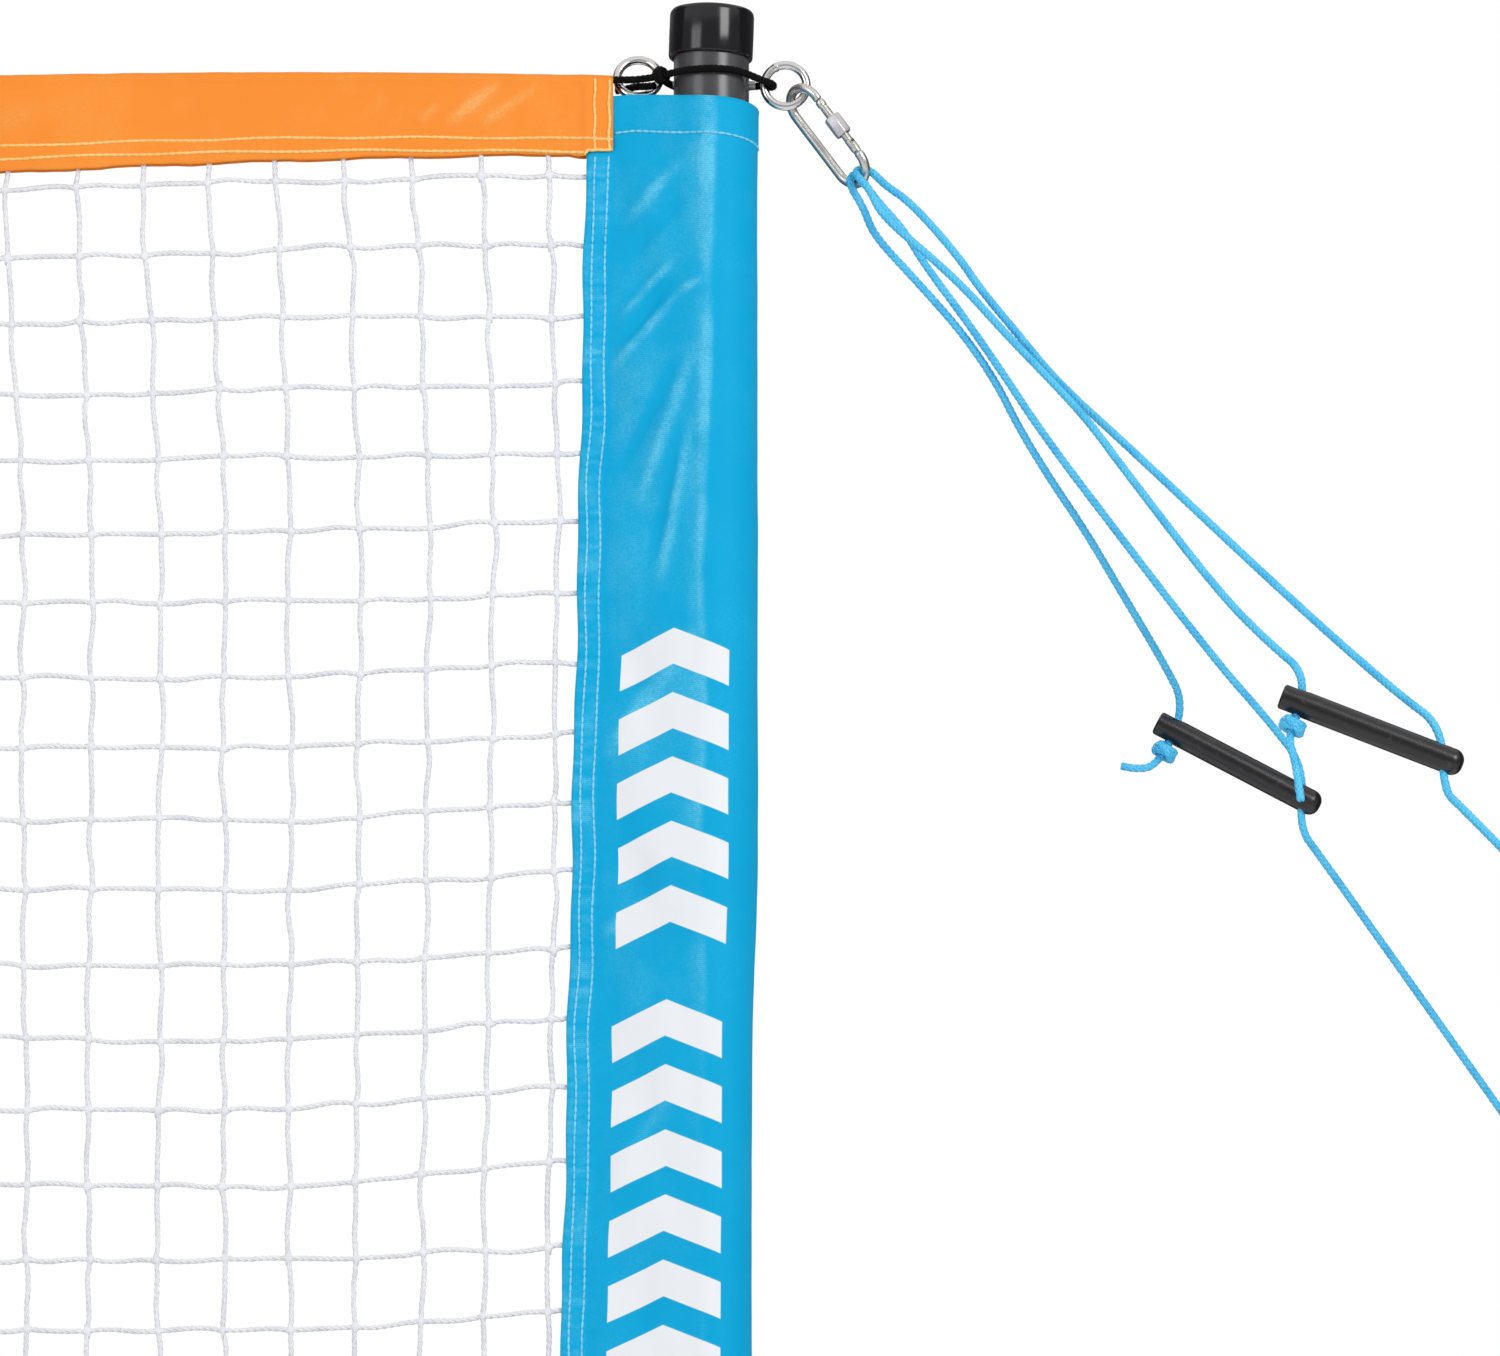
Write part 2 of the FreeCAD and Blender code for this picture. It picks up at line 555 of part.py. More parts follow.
def make_gate_small_parts(doc, sheet, hook):
    """Rivet, spring and plunger of the gate, and the screw sleeve that locks it."""
    across = Rotation(Vector(1, 0, 0), 90)
    rivet = primitive(doc, "Part::Cylinder", "gate_rivet",
                      {"Radius": "rivet_dia/2", "Height": "hook_wire"})
    spot = Vector(sheet.hook_bend, sheet.hook_wire / 2, hook.rivet)
    rivet.Placement = hook.frame.multiply(Placement(spot, across))
    base = hook.rivet - float(sheet.slot_depth)
    plunger = primitive(doc, "Part::Cylinder", "gate_plunger",
                        {"Radius": "plunger_dia/2", "Height": "plunger_length"})
    low = Vector(sheet.hook_bend, 0, base - float(sheet.plunger_length))
    plunger.Placement = hook.frame.multiply(Placement(low, Rotation()))
    outer = primitive(doc, "Part::Cylinder", "spring_outer",
                      {"Radius": "plunger_dia/2", "Height": "spring_length"})
    inner = primitive(doc, "Part::Cylinder", "spring_inner",
                      {"Radius": "plunger_dia/4", "Height": "spring_length"})
    spring = cut(doc, "gate_spring", outer, inner)
    spring_low = Vector(sheet.hook_bend, 0,
                        base - float(sheet.plunger_length + sheet.spring_length))
    spring.Placement = hook.frame.multiply(Placement(spring_low, Rotation()))
    nut = doc.addObject("Part::Prism", "nut_blank")
    nut.Polygon = 6
    nut.setExpression("Circumradius", bound("nut_flats/1.732"))
    nut.setExpression("Height", bound("nut_length"))
    rounding = primitive(doc, "Part::Cylinder", "nut_rounding",
                         {"Radius": "nut_flats*0.55", "Height": "nut_length"})
    common = doc.addObject("Part::Common", "nut_rounded")
    common.Base = nut
    common.Tool = rounding
    bore = primitive(doc, "Part::Cylinder", "nut_bore",
                     {"Radius": "hook_wire/2+fit_gap", "Height": "nut_length"})
    sleeve = cut(doc, "screw_sleeve", common, bore)
    top = Vector(sheet.hook_bend, 0, float(sheet.gate_nose_place + sheet.nut_place))
    sleeve.Placement = hook.frame.multiply(Placement(top, Rotation(Vector(0, 0, 1), 30)))
    for item in (rivet, plunger, spring, sleeve):
        item.Label = item.Name
    return [rivet, plunger, spring, sleeve]


def tape_section(x, top, bottom, half, sheet):
    """Folded strip round the head cord, open below, at one place along the tape."""
    cloth = float(sheet.cloth)
    bulge = float(sheet.cord_dia) / 2 + float(sheet.soft_gap)
    centre = top - bulge - cloth
    neck = centre - bulge * 1.6

    def side(sign, radius, width):
        low = Vector(x, sign * width, bottom)
        high = Vector(x, sign * width, neck)
        shoulder = Vector(x, sign * max(radius, width), centre)
        crown = Vector(x, 0, centre + radius)
        lean = math.radians(45)
        middle = Vector(x, sign * max(radius, width) * math.sin(lean),
                        centre + radius * math.cos(lean))
        return low, high, shoulder, middle, crown

    outer_front = side(-1, bulge + cloth, half + cloth)
    outer_back = side(1, bulge + cloth, half + cloth)
    inner_front = side(-1, bulge, half)
    inner_back = side(1, bulge, half)
    edges = []
    for low, high, shoulder, middle, crown in (outer_front,):
        edges += [Part.makeLine(low, high), Part.makeLine(high, shoulder),
                  Part.Arc(shoulder, middle, crown).toShape()]
    low, high, shoulder, middle, crown = outer_back
    edges += [Part.Arc(crown, middle, shoulder).toShape(), Part.makeLine(shoulder, high),
              Part.makeLine(high, low)]
    edges.append(Part.makeLine(low, inner_back[0]))
    low, high, shoulder, middle, crown = inner_back
    edges += [Part.makeLine(low, high), Part.makeLine(high, shoulder),
              Part.Arc(shoulder, middle, crown).toShape()]
    low, high, shoulder, middle, crown = inner_front
    edges += [Part.Arc(crown, middle, shoulder).toShape(), Part.makeLine(shoulder, high),
              Part.makeLine(high, low)]
    edges.append(Part.makeLine(low, outer_front[0]))
    return Part.Wire(edges)


def tape_stations(sheet):
    """Place, top, bottom and half opening of the tape at five places."""
    right = tape_end(sheet)
    left = float(sheet.tape_left)
    top = tape_level(sheet)
    bottom = top - float(sheet.tape_depth)
    lap = right - float(sheet.tape_lap)
    net_half = float(sheet.twine_thick) / 2 + float(sheet.soft_gap)
    lap_half = net_half + float(sheet.cloth) + float(sheet.soft_gap)
    middle = (left + right) / 2
    return [(left, top - 1, bottom - float(sheet.tape_sag), net_half),
            (middle, top + float(sheet.tape_crown), bottom - 2, net_half),
            (lap - 4, top + 0.3, bottom, net_half),
            (lap - 0.5, top, bottom, lap_half),
            (right, top, bottom, lap_half)]


def make_tape(doc, sheet):
    """Top tape, lofted between its stations, with the short end that laps the sleeve."""
    stations = tape_stations(sheet)
    parts = []
    for first, second in zip(stations[:-1], stations[1:]):
        wires = [tape_section(*first, sheet), tape_section(*second, sheet)]
        parts.append(Part.makeLoft(wires, True, True))
    tape = parts[0].multiFuse(parts[1:])
    lap = stations[-1][0] - float(sheet.tape_lap)
    notch = Part.makeBox(float(sheet.tape_lap) + 2, 30, float(sheet.tape_lap_rise) + 10,
                         Vector(lap, -15, stations[-1][2] - 10))
    return feature(doc, "top_tape", single(tape.cut(notch)))


def single(shape):
    """The one solid of a result."""
    solids = shape.Solids
    if len(solids) != 1:
        raise ValueError(f"{len(solids)} solids where one was wanted")
    return solids[0]


def sleeve_edge(sheet, height):
    """Left edge of the pole sleeve at a height."""
    top = sleeve_level(sheet)
    share = (top - height) / (top - float(sheet.sleeve_bottom))
    return sleeve_left(sheet) - float(sheet.sleeve_flare) * share


def sleeve_section(sheet, height, swell, shift, half, reach):
    """Teardrop round the pole that closes to a flat sewn edge."""
    left = sleeve_edge(sheet, height)
    seam = left + float(sheet.sleeve_seam)
    left -= reach
    turn = math.atan2(half, seam - shift) - math.acos(swell / math.hypot(seam - shift, half))
    touch = Vector(shift + swell * math.cos(turn), swell * math.sin(turn), height)
    right = Vector(shift + swell, 0, height)
    back_mid = arc_middle(shift, swell, touch, height)
    back = [Vector(left, half, height), Vector(seam, half, height), touch]
    front = [Vector(point.x, -point.y, point.z) for point in back]
    front_mid = Vector(back_mid.x, -back_mid.y, back_mid.z)
    return Part.Wire([Part.makeLine(front[0], front[1]), Part.makeLine(front[1], front[2]),
                      Part.Arc(front[2], front_mid, right).toShape(),
                      Part.Arc(right, back_mid, back[2]).toShape(),
                      Part.makeLine(back[2], back[1]), Part.makeLine(back[1], back[0]),
                      Part.makeLine(back[0], front[0])])


def arc_middle(shift, radius, touch, height):
    """Middle of the arc from the tangent point to the rightmost point."""
    angle = math.atan2(touch.y, touch.x - shift) / 2
    return Vector(shift + radius * math.cos(angle), radius * math.sin(angle), height)


def make_sleeve(doc, sheet):
    """Cloth sleeve round the pole: two layers that part at the seam."""
    cloth = float(sheet.cloth)
    half = float(sheet.twine_thick) / 2 + float(sheet.soft_gap)
    close = float(sheet.pole_dia) / 2 + float(sheet.soft_gap) + cloth + 0.2
    swell = float(sheet.pole_dia) / 2 + float(sheet.sleeve_ease)
    shift = float(sheet.sleeve_shift)
    slack = float(sheet.sleeve_slack)
    levels = [(float(sheet.sleeve_bottom), close, 0.0), (slack, close, 0.0),
              (slack + 130, swell, shift), (sleeve_level(sheet), swell, shift)]
    outer = []
    inner = []
    for height, radius, offset in levels:
        outer.append(sleeve_section(sheet, height, radius, offset, half + cloth, 0))
        inner.append(sleeve_section(sheet, height, radius - cloth, offset, half, 2))
    skin = stack(outer).cut(stack(inner))
    return feature(doc, "pole_sleeve", single(skin))


def stack(wires):
    """Ruled solids between neighbouring sections, joined."""
    parts = [Part.makeLoft([low, high], True, True) for low, high in zip(wires[:-1], wires[1:])]
    return parts[0].multiFuse(parts[1:])


def make_net(doc, sheet):
    """Flat net as one holed face with its strands' real depth."""
    twine = float(sheet.twine)
    wide = float(sheet.mesh_wide)
    columns = int(sheet.net_columns)
    last = sleeve_left(sheet) - float(sheet.net_column_place)
    half = twine / 2
    inset = float(sheet.sleeve_seam) / 2

    def edge(height):
        return sleeve_edge(sheet, height) + inset

    heights = net_levels(sheet)
    lefts = [last - column * wide for column in range(columns, -1, -1)]
    holes = []
    for upper, lower in zip(heights[:-1], heights[1:]):
        low, tall = lower + half, upper - half
        for left, right in zip(lefts[:-1], lefts[1:]):
            holes.append(four_sided(left + half, right - half, left + half, right - half,
                                    low, tall))
        holes.append(four_sided(lefts[-1] + half, edge(low) - half,
                                lefts[-1] + half, edge(tall) - half, low, tall))
    outline = four_sided(lefts[0] - half, edge(heights[-1] - half) + half,
                         lefts[0] - half, edge(heights[0] + half) + half,
                         heights[-1] - half, heights[0] + half)
    face = Part.makeFace([outline] + holes, "Part::FaceMakerBullseye")
    depth = float(sheet.twine_thick)
    face.translate(Vector(0, -depth / 2, 0))
    print("net gaps:", len(holes))
    return feature(doc, "net_mesh", single(face.extrude(Vector(0, depth, 0))))


def four_sided(low_left, low_right, high_left, high_right, low, high):
    """Upright four-sided wire between two heights."""
    return Part.makePolygon([Vector(low_left, 0, low), Vector(low_right, 0, low),
                             Vector(high_right, 0, high), Vector(high_left, 0, high),
                             Vector(low_left, 0, low)])


def make_foot_tape(doc, sheet):
    """Folded strip along the bottom of the net, open above."""
    cloth = float(sheet.cloth)
    inner = float(sheet.twine_thick) / 2 + float(sheet.soft_gap)
    outer = inner + cloth
    low = float(sheet.foot_tape_bottom)
    high = low + float(sheet.foot_tape_depth)
    left = float(sheet.tape_left)
    right = sleeve_edge(sheet, high) - 1.0
    points = [(-outer, high), (-outer, low + outer), (-inner, low), (inner, low),
              (outer, low + outer), (outer, high), (inner, high), (inner, low + outer),
              (inner / 2, low + cloth + 0.5), (-inner / 2, low + cloth + 0.5),
              (-inner, low + outer), (-inner, high)]
    wire = Part.makePolygon([Vector(left, y, z) for y, z in points + points[:1]])
    return feature(doc, "foot_tape", single(Part.Face(wire).extrude(Vector(right - left, 0, 0))))


def head_cord_route(sheet):
    """Route from the tape's left end through the tape, round the pole and ring, to the knot."""
    radius = float(sheet.pole_dia + sheet.cord_dia) / 2 + float(sheet.soft_gap)
    height = cord_level(sheet)
    bulge = float(sheet.cord_dia) / 2 + float(sheet.soft_gap) + float(sheet.cloth)
    stations = tape_stations(sheet)
    inside = [(x, 0, top - bulge) for x, top, _, _ in stations]
    ring_wire = float(sheet.guy_ring_place) - float(sheet.ring_bore + sheet.ring_wire) / 2
    loop = float(sheet.ring_wire + sheet.cord_dia) / 2 + 0.5
    around = []
    for degrees in (-128, -90, -52):
        angle = math.radians(degrees)
        reach = radius / math.cos(math.radians(19))
        around.append((reach * math.cos(angle), reach * math.sin(angle), height))
    low = guy_ring_centre(sheet).z
    bight = [(ring_wire - 1.5, -loop - 1.2, low + 1.8), (ring_wire + loop, -loop, low),
             (ring_wire + loop, loop, low), (ring_wire - 1.5, loop + 1.2, low + 1.8)]
    behind = [(x, -y, z - 1.0) for x, y, z in reversed(around)]
    behind.append((-radius * 0.96, radius * 0.36, height - 2.5))
    start = [inside[0], inside[1], (inside[-1][0] + 7, 0, inside[-1][2])]
    knot = [head_knot_start(sheet) + Vector(-2.5, 1.8, -0.2)]
    finish = [head_knot_start(sheet) + Vector(4.7, 1.9, -1.0)]
    return start + knot + around + bight + behind + finish


def make_head_cord(doc, sheet):
    """Black head cord in one piece."""
    route = head_cord_route(sheet)
    count = len(route)
    loop = float(sheet.ring_wire + sheet.cord_dia) / 2 + 0.5
    radii = {count - 8: loop, count - 7: loop}
    tube = cord_tube("head_cord", route, float(sheet.cord_dia), radii)
    return feature(doc, "head_cord", tube)


def barrel_knot(doc, label, place, diameter, length, bore, cord):
    """Wrapped knot of three turns round a standing cord."""
    turns = []
    pitch = (length - cord) / 2
    for index in range(3):
        turn = doc.addObject("Part::Torus", f"{label}_turn{index}")
        turn.Radius1 = (diameter - cord) / 2
        turn.Radius2 = cord / 2
        turn.Placement = Placement(Vector(0, 0, cord / 2 + pitch * index), Rotation())
        turns.append(turn)
    core = doc.addObject("Part::Cylinder", label + "_core")
    core.Radius = (diameter - cord) / 2
    core.Height = length - cord * 0.3
    core.Placement = Placement(Vector(0, 0, cord * 0.15), Rotation())
    hole = doc.addObject("Part::Cylinder", label + "_hole")
    hole.Radius = bore / 2
    hole.Height = length * 2
    hole.Placement = Placement(Vector(0, 0, -length / 2), Rotation())
    knot = cut(doc, label, join(doc, label + "_whole", turns + [core]), hole)
    knot.Label = label
    knot.Placement = place
    return knot


def make_slider(doc, sheet, side, middle, axis):
    """Plastic bar with a hole at each end, one square and one slanted."""
    name = side + "_slider"
    body = doc.addObject("PartDesign::Body", name)
    body.Label = name
    points = [("0", "-slider_length/2"),
              ("slider_dia/2-slider_collar-1", "-slider_length/2"),
              ("slider_dia/2-slider_collar", "-slider_length/2+1"),
              ("slider_dia/2-slider_collar", "-slider_length/2+slider_collar_length"),
              ("slider_dia/2", "-slider_length/2+slider_collar_length"),
              ("slider_dia/2", "slider_length/2"),
              ("0", "slider_length/2")]
    sketch = profile(body, name + "_section", "XZ_Plane", points, sheet)
    turn = body.newObject("PartDesign::Revolution", name + "_turn")
    turn.Profile = sketch
    turn.ReferenceAxis = (sketch, ["V_Axis"])
    turn.Angle = 360.0
    doc.recompute()
    end = float(sheet.slider_length) / 2
    names = [f"Edge{index}" for index, edge in enumerate(turn.Shape.Edges, start=1)
             if abs(edge.BoundBox.ZMin - end) < 1e-6 and abs(edge.BoundBox.ZMax - end) < 1e-6]
    rounding = body.newObject("PartDesign::Fillet", name + "_rounding")
    rounding.Base = (turn, names)
    rounding.setExpression("Radius", bound("slider_dia*0.42"))
    doc.recompute()
    square = circle_sketch(body, name + "_square", "XZ_Plane", ["slider_hole_dia/2"], sheet,
                           ("0", "-slider_holes/2"))
    first = body.newObject("PartDesign::Pocket", name + "_return_hole")
    first.Profile = square
    first.Type = 1
    first.Midplane = True
    doc.recompute()
    slanted = body.newObject("Sketcher::SketchObject", name + "_slanted")
    slanted.AttachmentSupport = [(plane_of(body, "XZ_Plane"), "")]
    slanted.MapMode = "FlatFace"
    slanted.AttachmentOffset = Placement(
        Vector(0, float(sheet.slider_holes) / 2, 0),
        Rotation(Vector(1, 0, 0), -float(sheet.slider_slant)))
    slanted.addGeometry(Part.Circle(Vector(0, 0, 0), Vector(0, 0, 1),
                                    float(sheet.slider_hole_dia) / 2))
    row = slanted.addConstraint(
        Sketcher.Constraint("Radius", 0, float(sheet.slider_hole_dia) / 2))
    slanted.setExpression(f"Constraints[{row}]", bound("slider_hole_dia/2"))
    second = body.newObject("PartDesign::Pocket", name + "_standing_hole")
    second.Profile = slanted
    second.Type = 1
    second.Midplane = True
    doc.recompute()
    if not rounding.Shape.Volume > first.Shape.Volume > second.Shape.Volume:
        raise ValueError(f"a hole of {name} cut nothing")
    body.Placement = slider_frame(middle, axis)
    return body


def slider_frame(middle, axis):
    """Slider's frame: Z along its axis, Y up through its square hole."""
    axis = Vector(*axis)
    axis.normalize()
    up = Vector(-axis.z, 0, axis.x)
    across = up.cross(axis)
    across.normalize()
    return Placement(Vector(*middle), Rotation(across, up, axis, "ZXY"))


class Guy:
    """One guy: rope round the hook, slider, stop knot, lower rope, end knot and loop."""

    def __init__(self, sheet, hook, side, pull, slider, returned, standing, lower):
        self.sheet = sheet
        self.side = side
        self.shift = guy_ring_centre(sheet) - Vector(GUY_RING[0], 0, GUY_RING[1])
        self.middle = Vector(*slider[0]) + self.shift
        self.axis = slider[1]
        self.frame = slider_frame(self.middle, self.axis)
        self.returned = self.moved(returned)
        self.standing = self.moved(standing)
        self.lower = self.moved(lower)
        self.bend = hook.bend_point(sheet, pull)

    def moved(self, points):
        """Chosen points, moved along with the guy ring."""
        return [Vector(*point) + self.shift for point in points]

    def hole(self, sign, slant):
        """Centre and downward direction of one rope hole."""
        place = self.frame.multVec(Vector(0, 0, sign * float(self.sheet.slider_holes) / 2))
        turn = math.radians(slant)
        down = self.frame.Rotation.multVec(Vector(0, -math.cos(turn), math.sin(turn) * 1.0))
        return place, down

    def return_hole(self):
        """Square hole that the return part is knotted under."""
        return self.hole(-1, 0.0)

    def standing_hole(self):
        """Slanted hole that the standing part runs through."""
        return self.hole(1, float(self.sheet.slider_slant))

    def upper_route(self):
        """From the stop knot up to the hook, round it, and down to the standing hole."""
        centre, _, across, pull = self.bend
        reach = float(self.sheet.hook_wire + self.sheet.rope_dia) / 2 + float(self.sheet.soft_gap)
        lead = 14.0
        half = float(self.sheet.slider_dia) / 2
        hole, down = self.return_hole()
        start = hole + down * (half + float(self.sheet.soft_gap))
        above = hole - down * (half + 8.0)
        sign = -1.0
        turn = [centre + across * sign * reach + pull * lead,
                centre + across * sign * reach - pull * reach,
                centre - across * sign * reach - pull * reach,
                centre - across * sign * reach + pull * lead]
        exit_hole, exit_down = self.standing_hole()
        over = exit_hole - exit_down * (half + 11.0)
        first = [start, above] + list(reversed(self.returned)) + turn
        self.corner = len(first) - 3
        return first + self.standing + [over, exit_hole]

    def lower_route(self):
        """From the standing hole down to the end knot."""
        hole, down = self.standing_hole()
        under = hole + down * (float(self.sheet.slider_dia) / 2 + 11.0)
        return [hole, under] + self.lower

    def make(self, doc):
        """All pieces of this guy."""
        sheet = self.sheet
        rope = float(sheet.rope_dia)
        route = self.upper_route()
        reach = float(sheet.hook_wire + sheet.rope_dia) / 2 + float(sheet.soft_gap)
        upper = feature(doc, self.side + "_upper_rope",
                        cord_tube(self.side + "_upper_rope", route, rope,
                                  {self.corner: reach, self.corner + 1: reach}))
        low_route = self.lower_route()
        lower = feature(doc, self.side + "_lower_rope",
                        cord_tube(self.side + "_lower_rope", low_route, rope))
        slider = make_slider(doc, sheet, self.side, self.middle, self.axis)
        hole, down = self.return_hole()
        half = float(sheet.slider_dia) / 2
        under = frame_at(hole + down * (half + float(sheet.soft_gap)), down, Vector(0, 1, 0))
        knot = barrel_knot(doc, self.side + "_stop_knot", under, float(sheet.knot_dia),
                           float(sheet.knot_length), rope + 0.1, rope)
        tail = self.make_tail(doc, hole + down * (half + float(sheet.soft_gap)), down)
        pull = low_route[-1] - low_route[-2]
        pull.normalize()
        end_place = frame_at(low_route[-1], pull, Vector(0, 0, 1))
        end_knot = barrel_knot(doc, self.side + "_end_knot", end_place, float(sheet.knot_dia),
                               float(sheet.knot_length) + 3, rope + 0.1, rope)
        loop = self.make_loop(doc, low_route[-1], pull)
        return [upper, lower, slider, knot, tail, end_knot, loop]

    def make_tail(self, doc, start, down):
        """Short cut end of the rope that leaves the stop knot."""
        length = float(self.sheet.knot_length)
        name = self.side + "_tail"
        if self.side == "rear":
            points = [start, start + down * (length + 0.5)]
            points += self.moved([(259, 214, 618), (246, 213.5, 621)])
        else:
            points = [start, start + down * (length + 3)]
            points += self.moved([(331.5, -259, 536), (334, -262.5, 512)])
        return feature(doc, name, cord_tube(name, points, float(self.sheet.rope_dia)))

    def make_loop(self, doc, start, pull):
        """Limp closed bight that goes over the stake."""
        width = float(self.sheet.loop_width)
        length = float(self.sheet.loop_length)
        rope = float(self.sheet.rope_dia)
        knot = float(self.sheet.knot_length) + 3
        across = pull.cross(Vector(0, 1, 0)) if self.side == "front" else Vector(0, 1, 0).cross(pull)
        across.normalize()
        place = start + pull * (knot + float(self.sheet.soft_gap))
        spread = [(0.0, rope * 0.55), (0.16, rope * 0.62), (0.5, width * 0.42),
                  (0.86, width * 0.5), (1.1, width * 0.22)]
        side_a = [place + pull * (length * s) + across * w for s, w in spread]
        side_b = [place + pull * (length * s) - across * w for s, w in reversed(spread)]
        name = self.side + "_end_loop"
        return feature(doc, name, cord_tube(name, side_a + side_b, rope))


def make_head_knot(doc, sheet):
    """Knot that closes the head cord's loop beside the pole, and its tail through the ring."""
    rope = float(sheet.cord_dia)
    start = head_knot_start(sheet)
    place = frame_at(start, Vector(19.8, -14.2, 1.6), Vector(0, 0, 1))
    knot = barrel_knot(doc, "head_knot", place, rope * 2.4, rope * 1.9, rope + 0.1, rope)
    tail_points = [start + Vector(0.3, 3.2, -4.2), start + Vector(-5.0, 6.0, -4.3),
                   start + Vector(-10.7, 13.0, -2.5), start + Vector(-17.0, 20.4, -2.2),
                   start + Vector(-23.0, 21.9, -3.1)]
    tail = feature(doc, "cord_tail", cord_tube("cord_tail", tail_points, rope))
    return [knot, tail]


def build(doc):
    """Every sub-part of the set."""
    sheet = make_sheet(doc)
    hook = Hook(sheet)
    parts = [make_pole(doc, sheet), make_cap(doc, sheet), make_pin(doc, sheet),
             make_ring(doc, "guy_ring", guy_ring_centre(sheet), 0.0),
             make_ring(doc, "tape_ring", tape_ring_centre(sheet), float(sheet.tape_ring_lean)),
             make_hook_body(doc, sheet, hook), make_gate(doc, sheet, hook)]
    parts += make_gate_small_parts(doc, sheet, hook)
    parts += [make_tape(doc, sheet), make_sleeve(doc, sheet), make_net(doc, sheet),
              make_foot_tape(doc, sheet), make_head_cord(doc, sheet)]
    parts += make_head_knot(doc, sheet)
    rear = Guy(sheet, hook, "rear", REAR_PULL, REAR_SLIDER, REAR_RETURN, REAR_STANDING,
               REAR_LOWER)
    front = Guy(sheet, hook, "front", FRONT_PULL, FRONT_SLIDER, FRONT_RETURN, FRONT_STANDING,
                FRONT_LOWER)
    return parts + rear.make(doc) + front.make(doc)


def write(doc, parts):
    """Check the document and every sub-part, then write the solids."""
    doc.recompute()
    for item in doc.Objects:
        if "Invalid" in item.State or "Error" in item.State:
            raise ValueError(f"{item.Name}: {item.State}")
    for item in parts:
        shape = item.Shape
        if shape.isNull() or not shape.isValid() or len(shape.Solids) != 1:
            raise ValueError(f"{item.Label}: {len(shape.Solids)} solids, valid {shape.isValid()}")
    os.makedirs("parts", exist_ok=True)
    for item in parts:
        item.Shape.exportStep(f"parts/{item.Label}.step")
    print(len(parts), "sub-parts written")


document = FreeCAD.newDocument("NetEnd")
write(document, build(document))
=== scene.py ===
"""Dresses the end of a portable net set: pole, cloth sleeve, tape, net, rings, snap hook and guys.

Metres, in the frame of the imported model: Z is up, X runs along the net towards the guys, and the
origin is the centre of the pole section's open lower end.
"""

from __future__ import annotations

import logging
import math
import random
from abc import ABC, abstractmethod
from dataclasses import dataclass, field, replace
from enum import Enum
from typing import Callable, Sequence

import bmesh
import bpy
from bmesh.types import BMEdge, BMesh, BMVert
from bpy.types import Material, Mesh, NodeSocket, Object, World
from mathutils import Matrix, Vector, noise

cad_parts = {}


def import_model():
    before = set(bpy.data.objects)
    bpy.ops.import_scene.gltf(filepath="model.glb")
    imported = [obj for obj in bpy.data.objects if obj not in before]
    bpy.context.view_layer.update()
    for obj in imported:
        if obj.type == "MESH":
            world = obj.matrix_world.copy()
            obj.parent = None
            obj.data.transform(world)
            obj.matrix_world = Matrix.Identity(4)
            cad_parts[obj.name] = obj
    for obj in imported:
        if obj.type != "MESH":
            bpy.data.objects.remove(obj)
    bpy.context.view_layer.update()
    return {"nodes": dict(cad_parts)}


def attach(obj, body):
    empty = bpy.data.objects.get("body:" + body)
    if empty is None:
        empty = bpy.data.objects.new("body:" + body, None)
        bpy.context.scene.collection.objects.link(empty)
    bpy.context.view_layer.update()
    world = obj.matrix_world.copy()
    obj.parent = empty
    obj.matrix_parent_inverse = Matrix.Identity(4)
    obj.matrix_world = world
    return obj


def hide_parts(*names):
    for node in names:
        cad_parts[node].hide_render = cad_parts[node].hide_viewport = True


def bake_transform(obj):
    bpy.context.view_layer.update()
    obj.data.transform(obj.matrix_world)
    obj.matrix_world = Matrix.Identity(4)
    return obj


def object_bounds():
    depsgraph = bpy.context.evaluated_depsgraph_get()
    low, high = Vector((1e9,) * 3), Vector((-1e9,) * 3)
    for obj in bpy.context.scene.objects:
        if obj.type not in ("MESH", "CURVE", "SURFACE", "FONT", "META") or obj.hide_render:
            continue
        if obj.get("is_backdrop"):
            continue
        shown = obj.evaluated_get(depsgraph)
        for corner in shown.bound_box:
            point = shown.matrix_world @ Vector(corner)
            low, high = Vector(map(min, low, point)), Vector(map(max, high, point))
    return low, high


Point = tuple[float, float, float]
Colour = tuple[float, float, float]
Pull = tuple[float, float, float, float, float, float]
Row = list[tuple[Vector, Vector]]
Track = Callable[[float], tuple[float, float]]
Profile = Sequence[tuple[float, float]]
Feed = "Value | float | Sequence[float]"

CLOTH = 0.0008  # thickness of every cloth
FOLD_HALF = 0.0022  # half the distance between the two sides of a folded edge
NET_LEFT = -0.4845  # where the net and its tapes are cut
NET_INSET = 0.0078  # how far the net reaches into the sleeve's sewn edge
log = logging.getLogger("net_end")


def ease(value: float, start: float, end: float) -> float:
    """Smooth rise from 0 at start to 1 at end."""
    share = min(1.0, max(0.0, (value - start) / (end - start)))
    return share * share * (3.0 - 2.0 * share)


def bump_at(value: float, centre: float, width: float) -> float:
    """Smooth hump of height 1 at the centre."""
    return math.exp(-(((value - centre) / width) ** 2))


def arch(share: float, start: float, rise: float, fall: float) -> float:
    """Height of a shallow arch at a share of its length."""
    return start + share * (rise - fall * share)


def ripple(x: float, y: float, z: float) -> float:
    """Smooth noise from about -1 to 1."""
    return noise.noise(Vector((x, y, z)))


def math_node(operation: str, swapped: bool = False) -> Callable[..., Value]:
    """Makes a method of Value that adds one Math node; swapped puts the other value first."""

    def apply(value: Value, other: Value | float = 0.0) -> Value:
        """Result of the operation."""
        first, second = (other, value) if swapped else (value, other)
        return value.graph.node("ShaderNodeMath", {"operation": operation}, {0: first, 1: second})

    return apply


